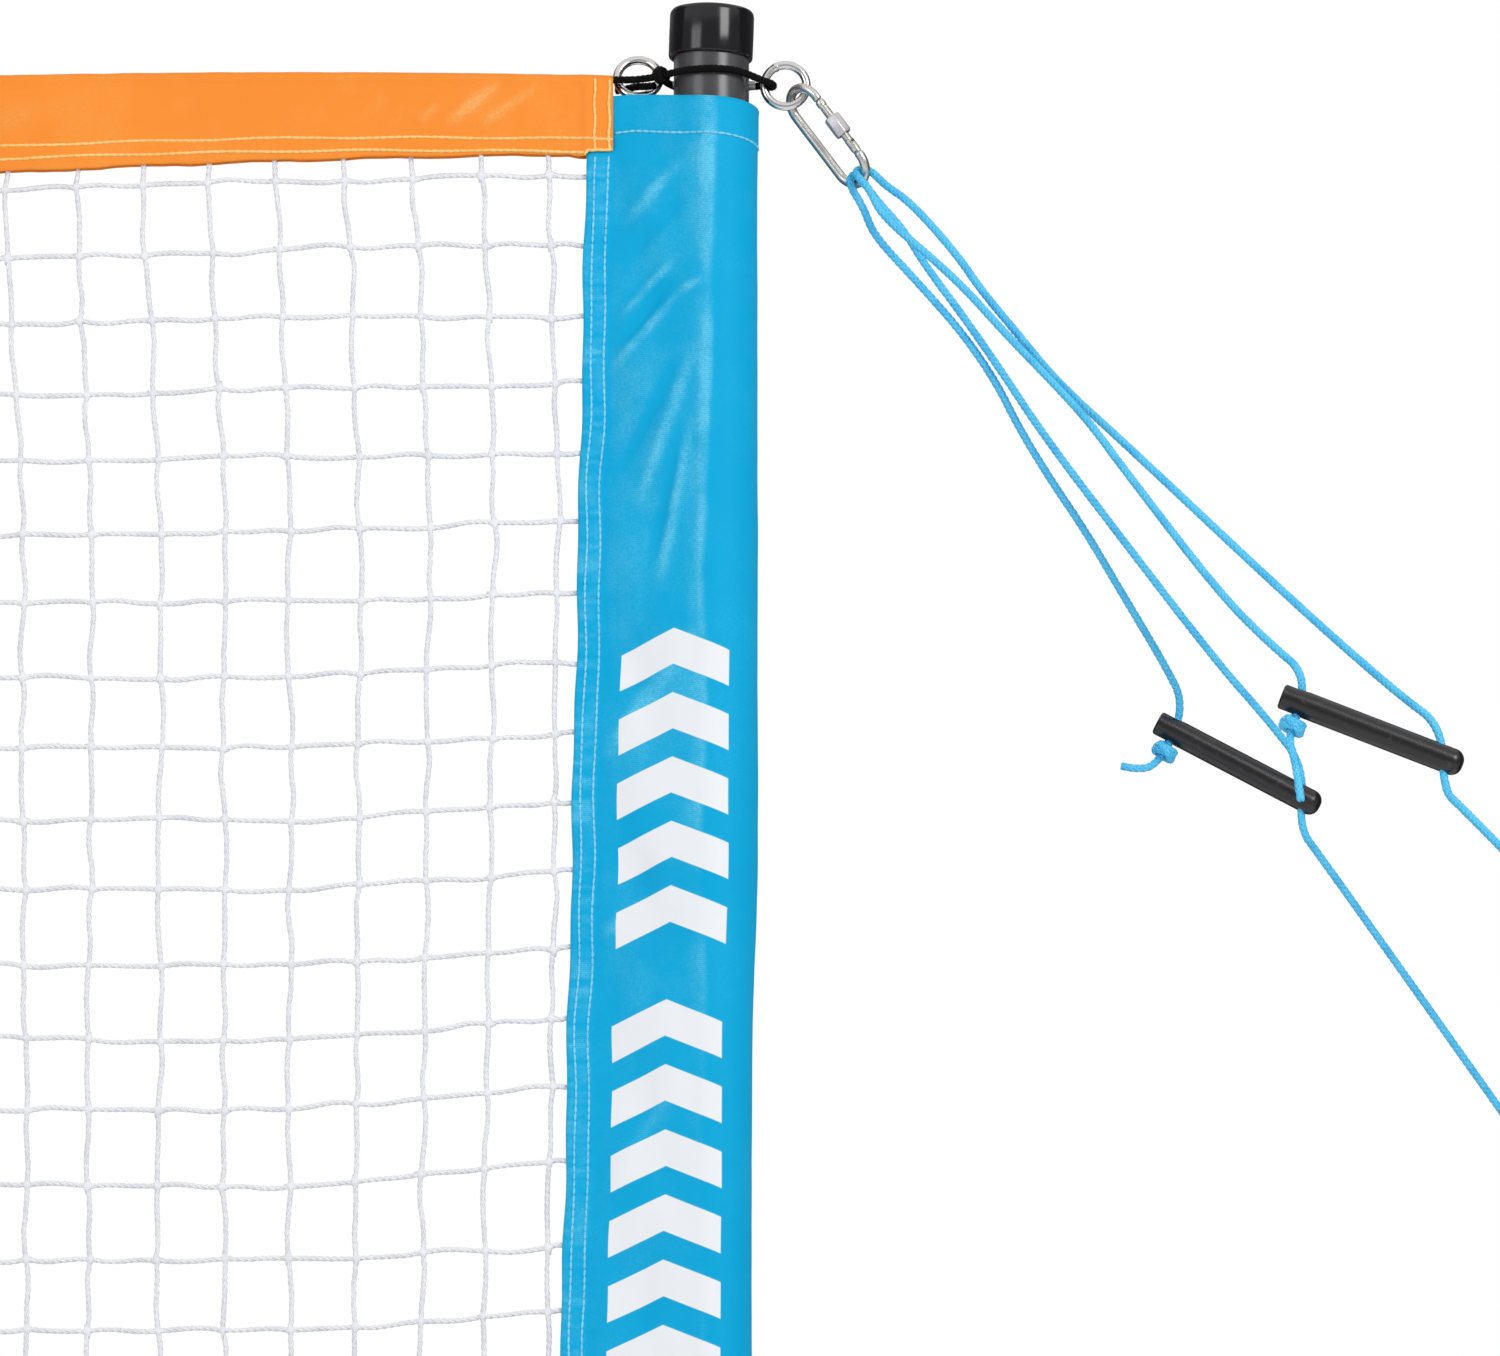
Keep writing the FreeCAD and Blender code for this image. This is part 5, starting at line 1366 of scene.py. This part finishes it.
@dataclass
class SnapHook:
    """Screw snap hook: bent wire, forked gate with its thread, rivet and screw sleeve.

    Its own frame has X towards the gate and Z down its long axis.
    """

    wire: float = 0.0028
    bend: float = 0.0119
    straight: float = 0.0436
    rivet_at: float = 0.038
    tongue_half: float = 0.0013
    thread_pitch: float = 0.0008
    thread_steps: int = 24
    sleeve_low: float = 0.0155
    sleeve_length: float = 0.0130
    sleeve_flats: float = 0.0047
    upper: Point = (0.05581, 0.0, 0.976766)
    down: Point = (0.594823, 0.0, -0.803857)
    side: Point = (0.472495, -0.809017, 0.349628)

    def build(self) -> None:
        """Builds the wire, the gate, the screw sleeve and the rivet."""
        down, side = Vector(self.down), Vector(self.side)
        turn = Matrix((side, down.cross(side), down)).transposed().to_4x4()
        place = Matrix.Translation(self.upper) @ turn
        across = (Matrix.Translation((self.bend, 0, self.rivet_at))
                  @ Matrix.Rotation(math.pi / 2, 4, "X"))
        for name, mesh, where, body, node, look in (
                ("hook_wire_steel", self.wire_mesh(), place, "hook", "hook_body", Look.HOOK),
                ("hook_gate_steel", self.gate_mesh(), place, "gate", "hook_gate", Look.HOOK),
                ("screw_sleeve_steel", self.sleeve_mesh(), place, "screw_sleeve", "screw_sleeve",
                 Look.NUT),
                ("gate_rivet_heads", self.rivet_mesh(), place @ across, "hook", "gate_rivet",
                 Look.PIN)):
            mesh.transform(where)
            add_piece(name, mesh, look, body, node, 38.0)

    def wire_mesh(self) -> Mesh:
        """Wire from the nose over the top, down the spine and up to the tongue."""
        bm = bmesh.new()
        start = Matrix.Translation((self.bend, 0, 0.0026))
        ring = edges_of(bmesh.ops.create_circle(bm, segments=24, radius=self.wire, matrix=start,
                                                cap_ends=True)["verts"])
        ring = self._pull(bm, ring, -0.0026)
        ring = self._bend(bm, ring, 0.0)
        for _ in range(8):
            ring = self._pull(bm, ring, self.straight / 8)
        ring = self._bend(bm, ring, self.straight)
        ring = self._pull(bm, ring, -0.0014)
        bmesh.ops.edgeloop_fill(bm, edges=ring)
        self._soften(bm, [edge for edge in bm.edges if edge.is_manifold
                          and edge.calc_face_angle(0.0) > 1.2], 0.0006, 3)
        self._flatten_nose(bm)
        tongue = bmesh.ops.create_cube(bm, size=1.0, matrix=(
            Matrix.Translation((self.bend, 0, 0.0387))
            @ Matrix.Diagonal((0.0054, 0.0023, 0.0070, 1.0))))
        self._soften(bm, edges_of(tongue["verts"]), 0.0005, 2)
        return merged(bm, "hook_wire_steel")

    def _pull(self, bm: BMesh, ring: list, run: float) -> list:
        """Extrudes a ring of edges along Z and returns the new ring."""
        out = bmesh.ops.extrude_edge_only(bm, edges=ring)["geom"]
        verts = {item for item in out if isinstance(item, BMVert)}
        bmesh.ops.translate(bm, verts=list(verts), vec=(0, 0, run))
        return [edge for edge in only_edges(out) if set(edge.verts) <= verts]

    def _bend(self, bm: BMesh, ring: list, height: float) -> list:
        """Sweeps a ring of edges half round and returns the last ring."""
        verts = list({vertex for edge in ring for vertex in edge.verts})
        return only_edges(spin(bm, verts + ring, 40, cent=(0, 0, height), axis=(0, 1, 0),
                               angle=math.pi, use_merge=False))

    def _soften(self, bm: BMesh, edges: list, offset: float, segments: int) -> None:
        """Rounds edges."""
        bmesh.ops.bevel(bm, geom=edges, offset=offset, offset_type="OFFSET", segments=segments,
                        profile=0.5, affect="EDGES", material=-1)

    def _flatten_nose(self, bm: BMesh) -> None:
        """Presses the end of the wire a little flat, as a forged nose."""
        for vertex in bm.verts:
            off = vertex.co - Vector((self.bend, 0.0, vertex.co.z))
            if vertex.co.x > 0.004 and vertex.co.z < 0.003 and off.length < 0.006:
                vertex.co.y = off.y * (1.0 - 0.16 * ease(vertex.co.z, -0.010, 0.000))

    def gate_mesh(self) -> Mesh:
        """Gate: round nose, threaded stem and fork of two prongs."""
        nose = turned("gate_nose", [
            (0.0, 0.0031), (0.0020, 0.0031), (0.0026, 0.0036), (0.0028, 0.0044), (0.0028, 0.0068),
            (0.0025, 0.0076), (0.0023, 0.0080), (0.0, 0.0080)], 40)
        stem = turned("gate_stem", [
            (0.0, 0.0078), (0.00235, 0.0078), (0.00235, 0.0336), (0.0, 0.0336)], 32)
        parts = [nose, stem, self.thread_mesh(0.0082, 0.0330)]
        fork = turned("gate_fork", [
            (0.0, 0.0326), (0.0024, 0.0326), (0.0028, 0.0331), (0.0028, 0.0400), (0.0024, 0.0407),
            (0.0, 0.0408)], 40)
        for way in (1.0, -1.0):
            half = bmesh.new()
            half.from_mesh(fork)
            cut = bmesh.ops.bisect_plane(
                half, geom=half.verts[:] + half.edges[:] + half.faces[:],
                plane_co=(0, self.tongue_half * way, 0), plane_no=(0, -way, 0), clear_outer=True)
            bmesh.ops.edgeloop_fill(half, edges=only_edges(cut["geom_cut"]))
            parts.append(written(half, "gate_prong"))
        bpy.data.meshes.remove(fork)
        whole = joined(parts, "hook_gate_steel")
        whole.transform(Matrix.Translation((self.bend, 0, 0)))
        return whole

    def thread_mesh(self, low: float, high: float) -> Mesh:
        """Rolled thread between two heights: a ridge swept up a helix."""
        bm = bmesh.new()
        pitch = self.thread_pitch
        corners, edges = outline(bm, [
            (0.00225, low), (0.00258, low + pitch * 0.30), (0.00262, low + pitch * 0.5),
            (0.00258, low + pitch * 0.70), (0.00225, low + pitch)])
        turns = int((high - low) / pitch) - 1
        spin(bm, corners + edges, self.thread_steps * turns, angle=math.tau * turns,
             dvec=(0, 0, pitch / self.thread_steps), use_merge=False)
        return merged(bm, "gate_thread", reach=1e-6)

    def sleeve_mesh(self) -> Mesh:
        """Screw sleeve: six soft flats outside, round inside, chamfered ends.

        A ring's radius is given in metres inside and as a share of the flats' outside.
        """
        low, high = self.sleeve_low, self.sleeve_low + self.sleeve_length
        bm = bmesh.new()
        loops = []
        for radius, height in (
                (0.0029, low + 0.0004), (0.0033, low), (0.90, low), (1.0, low + 0.0009),
                (1.0, low + self.sleeve_length / 2), (1.0, high - 0.0009), (0.90, high),
                (0.0033, high), (0.0029, high - 0.0004)):
            made = bmesh.ops.create_circle(bm, segments=48, radius=1.0,
                                           matrix=Matrix.Translation((0, 0, height)))["verts"]
            for vertex in made:
                angle = math.atan2(vertex.co.y, vertex.co.x)
                sector = (angle + math.pi / 6) % (math.pi / 3) - math.pi / 6
                hexagon = min(self.sleeve_flats / math.cos(sector), self.sleeve_flats * 1.11)
                reach = radius if radius < 0.1 else hexagon * radius
                vertex.co.x, vertex.co.y = reach * math.cos(angle), reach * math.sin(angle)
            loops.append(edges_of(made))
        for first, second in zip(loops, loops[1:] + loops[:1]):
            bmesh.ops.bridge_loops(bm, edges=first + second)
        mesh = merged(bm, "screw_sleeve_steel")
        mesh.transform(Matrix.Translation((self.bend, 0, 0)))
        return mesh

    def rivet_mesh(self) -> Mesh:
        """Rivet with two low heads, upright at the origin."""
        return turned("gate_rivet_heads", [
            (0.0, -0.0031), (0.0007, -0.0031), (0.0012, -0.0028), (0.0011, -0.0026),
            (0.0011, 0.0026), (0.0012, 0.0028), (0.0007, 0.0031), (0.0, 0.0031)], 28)


@dataclass(frozen=True)
class GuyRoute:
    """Where one guy runs, in millimetres, and the stretches of it listed for its slider."""

    side: str
    upper: tuple[Point, ...]
    lower: tuple[Point, ...]
    tail: tuple[Point, ...]
    loop: tuple[Point, ...]
    slide: Point
    pair_reach: tuple[float, float]
    single_reach: tuple[float, float]
    lengths: tuple[float, float, float, float]


REAR = GuyRoute(
    side="rear",
    upper=((274.5, 214, 635.1), (285.7, 214, 656), (270, 189, 681), (250, 164, 709),
           (222, 132, 750), (202, 108, 774), (182, 88, 803), (168, 70, 827.5), (147, 50.5, 853.5),
           (119.5, 34, 881), (95.5, 15, 903), (90, 8.4, 917.5), (80.1, -1.2, 931.3),
           (85.9, 3.9, 939.1), (95.8, 13.5, 925.3), (113.5, 17, 906.5), (126, 29, 888),
           (151.5, 46, 857), (173.5, 66, 829), (198, 87, 796), (240, 122, 747.5), (302, 169, 676),
           (334, 195, 645), (356.1, 214, 620.3), (354.1, 214, 601.7)),
    lower=((354.1, 214, 601.7), (352.2, 214, 583.1), (366, 231, 569), (497, 346, 407)),
    tail=((274.5, 214, 635.1), (269.1, 214, 624.9), (259, 214, 618), (246, 213.5, 621)),
    loop=((502.8, 352.9, 395.6), (509.1, 358.6, 387.3), (512.2, 370.8, 361.5),
          (524.4, 383.7, 341.4), (542.8, 392.2, 336.3), (556.5, 392.2, 347.4),
          (555.5, 383.7, 366.5), (538.3, 370.8, 382.6), (513.7, 358.6, 391.1),
          (506.9, 352.9, 398.9)),
    slide=(0.5388, 0.4669, -0.7012), pair_reach=(-0.585, -0.212), single_reach=(-0.131, 0.143),
    lengths=(0.9222, 0.281, 0.0363, 0.1892))
FRONT = GuyRoute(
    side="front",
    upper=((332.2, -250, 562.6), (340.8, -250, 584.7), (317, -229, 610), (290, -200, 645),
           (238, -142, 729), (218, -122, 762), (196, -98, 792), (171, -75, 824), (152, -58, 850),
           (133, -43, 872.5), (100, -22, 906), (93.4, -14, 923.8), (83.1, -4, 937.1),
           (92.3, 1.1, 940.4), (102.6, -8.9, 927.1), (117.5, -17, 915), (144, -36.5, 879.5),
           (158, -51, 854.5), (177, -68.5, 827), (202, -91, 790), (238, -120, 750),
           (334, -187, 641), (392, -232, 578), (414.9, -250, 557.2), (415.1, -250, 538.5)),
    lower=((415.1, -250, 538.5), (415.3, -250, 519.8), (424, -266, 508), (474, -311, 445)),
    tail=((332.2, -250, 562.6), (327, -250, 549.6), (331.5, -259, 536), (334, -262.5, 512)),
    loop=((483.8, -318, 436.9), (490.5, -323.8, 429), (515, -336, 420.4), (531.9, -349.1, 404.2),
          (532.8, -357.7, 385.1), (519, -357.7, 374.1), (500.6, -349.1, 379.3),
          (488.7, -336, 399.5), (485.9, -323.8, 425.3), (479.7, -318, 433.6)),
    slide=(0.5257, -0.4599, -0.7156), pair_reach=(-0.600, -0.127), single_reach=(-0.052, 0.0735),
    lengths=(1.1098, 0.131, 0.0542, 0.1892))


@dataclass
class Guy:
    """One guy: doubled rope to the slider, stop knot and tail, lower rope, end knot and loop."""

    route: GuyRoute
    knot_width: float = 0.0160
    knot_turns: float = 2.7

    def build(self) -> None:
        """Builds the guy's ropes and knots."""
        route, side = self.route, self.route.side
        slider, loop_body = f"{side}_slider", f"{side}_loop"
        ropes = []
        for part, points, body in (
                ("upper_rope", route.upper, ""), ("lower_rope", route.lower, ""),
                ("tail", route.tail, slider), ("end_loop", route.loop, loop_body)):
            line = smooth_route(points)
            ropes.append((GUY_ROPE.piece(f"{side}_{part}", line, body), line))
        stop = self._knot("stop_knot", route.tail[0], route.tail[1], 0.011, slider)
        onward = tuple(2 * b - a for a, b in zip(route.lower[-2], route.lower[-1]))
        end = self._knot("end_knot", route.lower[-1], onward, 0.014, loop_body)
        (upper, upper_line), (lower, _) = ropes[:2]
        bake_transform(upper)
        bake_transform(lower)
        upper_line.reverse()

    def _knot(self, part: str, start: Point, onward: Point, length: float, body: str) -> Object:
        """Wrapped knot from a point of the rope onward."""
        first, second = (Vector(point) / 1000.0 for point in (start, onward))
        line = GUY_ROPE.wraps(first, second - first, length, self.knot_width, self.knot_turns)
        return GUY_ROPE.piece(f"{self.route.side}_{part}", line, body)


@dataclass
class Studio:
    """Pale floor, white surroundings, soft lamps and the camera."""

    floor_height: float = -1.45
    floor_reach: float = 30.0
    screen_top: float = 3.2
    screen_middle: float = -0.3
    distance: float = 8.0
    below: float = 11.0
    aim: Point = (0.0228, 0.0, 0.6334)
    lamp_aim: Point = (0.05, 0.0, 0.7)
    lens: float = 327.9

    def build(self) -> None:
        """Builds the studio."""
        self._floor()
        self._world()
        self._screen("studio_back_screen", 2.5, math.pi, 0.11)
        self._screen("studio_front_screen", 6.0, -math.pi, 0.42)
        for name, place, size, power in (("key_lamp", (2.1, -2.9, 2.1), 1.5, 62.0),
                                         ("fill_lamp", (-2.6, -3.0, 1.2), 1.8, 34.0),
                                         ("back_lamp", (-1.2, 2.8, 2.4), 1.6, 44.0)):
            data = bpy.data.lights.new(name, "AREA")
            data.size = size
            data.energy = power
            lamp = self._aimed(name, data, Vector(place), Vector(self.lamp_aim) - Vector(place))
            lamp.visible_camera = False
        self._camera()

    def _background_rays(self, graph: Graph) -> Value:
        """1 for a ray that shows the background: from the camera, off a gloss or through glass."""
        path = graph.tree.nodes.new("ShaderNodeLightPath")
        camera, glossy, through = (Value(graph, path.outputs[f"Is {kind} Ray"])
                                   for kind in ("Camera", "Glossy", "Transmission"))
        return graph.node("ShaderNodeMath", {"operation": "ADD", "use_clamp": True},
                          {0: camera + glossy, 1: through})

    def _surface(self, name: str, bm: BMesh, material: Material) -> Object:
        """Adds a flat-faced object."""
        mesh = merged(bm, name, outward=False)
        mesh.materials.append(material)
        thing = bpy.data.objects.new(name, mesh)
        bpy.context.scene.collection.objects.link(thing)
        return thing

    def _floor(self) -> None:
        """Pale floor that shows white and keeps the shadow."""
        bm = bmesh.new()
        bmesh.ops.create_grid(bm, x_segments=1, y_segments=1, size=self.floor_reach)
        material = bpy.data.materials.new("studio_floor_pale")
        graph = Graph(material)
        matt = graph.node("ShaderNodeBsdfDiffuse", {}, {"Color": (0.86, 0.86, 0.87)})
        glow = graph.node("ShaderNodeEmission", {}, {
            "Color": (1.0, 1.0, 1.0), "Strength": self._background_rays(graph) * 0.30})
        both = graph.node("ShaderNodeAddShader", {}, {0: matt, 1: glow})
        graph.end("ShaderNodeOutputMaterial", both)
        floor = self._surface("studio_floor", bm, material)
        floor.location = (0.0, 0.0, self.floor_height)
        floor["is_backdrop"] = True

    def _world(self) -> None:
        """White to the camera and in reflections, softer as light."""
        world = bpy.data.worlds.new("studio_world")
        bpy.context.scene.world = world
        graph = Graph(world)
        light, seen = (graph.node("ShaderNodeBackground", {}, {"Color": colour, "Strength": power})
                       for colour, power in (((0.97, 0.98, 1.0), 0.52), ((1.0, 1.0, 1.0), 1.0)))
        graph.end("ShaderNodeOutputWorld", graph.node("ShaderNodeMixShader", {}, {
            0: self._background_rays(graph), 1: light, 2: seen}))

    def _screen(self, name: str, reach: float, turn: float, grey: float) -> None:
        """Half-round screen that only reflections show, so that steel stands out on white.

        Args:
            name: Name of the screen.
            reach: Radius round the object.
            turn: Half turn that it covers, pi for the back and -pi for the front.
            grey: How bright it is.
        """
        bm = bmesh.new()
        ends = [bm.verts.new((reach, self.screen_middle, height))
                for height in (self.floor_height, self.screen_top)]
        spin(bm, ends + [bm.edges.new(ends)], 32, cent=(0, self.screen_middle, 0), angle=turn,
             use_merge=False)
        material = bpy.data.materials.new(name)
        graph = Graph(material)
        graph.end("ShaderNodeOutputMaterial", graph.node("ShaderNodeEmission", {}, {
            "Color": (grey, grey, grey * 1.04)}))
        screen = self._surface(name, bm, material)
        for kind in ("camera", "diffuse", "shadow", "transmission", "volume_scatter"):
            setattr(screen, f"visible_{kind}", False)
        screen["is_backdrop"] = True

    def _aimed(self, name: str, data: bpy.types.ID, place: Vector, way: Vector) -> Object:
        """Adds a lamp or camera that faces a direction."""
        thing = bpy.data.objects.new(name, data)
        thing.location = place
        thing.rotation_mode = "QUATERNION"
        thing.rotation_quaternion = way.to_track_quat("-Z", "Y")
        bpy.context.scene.collection.objects.link(thing)
        return thing

    def _camera(self) -> None:
        """Camera at the photograph's angle, a little below the object's middle."""
        data = bpy.data.cameras.new("camera")
        data.lens = self.lens
        data.sensor_width = 36.0
        data.clip_end = 100.0
        turn = math.radians(self.below)
        ahead = Vector((0.0, math.cos(turn), math.sin(turn)))
        place = Vector(self.aim) - ahead * self.distance
        bpy.context.scene.camera = self._aimed("camera", data, place, ahead)


# CAD nodes that are shown as they are.
DRESSED = {
    "pole_tube": (Look.POLE, "pole_steel"), "cord_pin": (Look.PIN, "pin_steel"),
    "gate_plunger": (Look.HOOK, "hook_steel"), "gate_spring": (Look.HOOK, "hook_steel"),
    "rear_slider": (Look.SLIDER, "slider_plastic"), "front_slider": (Look.SLIDER, "slider_plastic")}


def corners() -> list[list[float]]:
    """Lowest and highest corner of the shown object, as plain lists."""
    low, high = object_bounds()
    return [list(low), list(high)]


def main() -> None:
    """Dresses and builds every piece, then the studio."""
    logging.basicConfig(level=logging.INFO, format="%(message)s")
    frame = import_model()
    for name, (look, slot) in DRESSED.items():
        dress(frame["nodes"][name], look)
    sleeve = PoleSleeve()
    for part in (PoleCap(), sleeve, TopTape(), FootTape(), Net(sleeve), Rings(), HeadCord(),
                 SnapHook(), Guy(REAR), Guy(FRONT), Studio()):
        log.info("building %s", type(part).__name__)
        part.build()
    bpy.context.scene.view_settings.view_transform = "Standard"


if __name__ == "__main__":
    main()
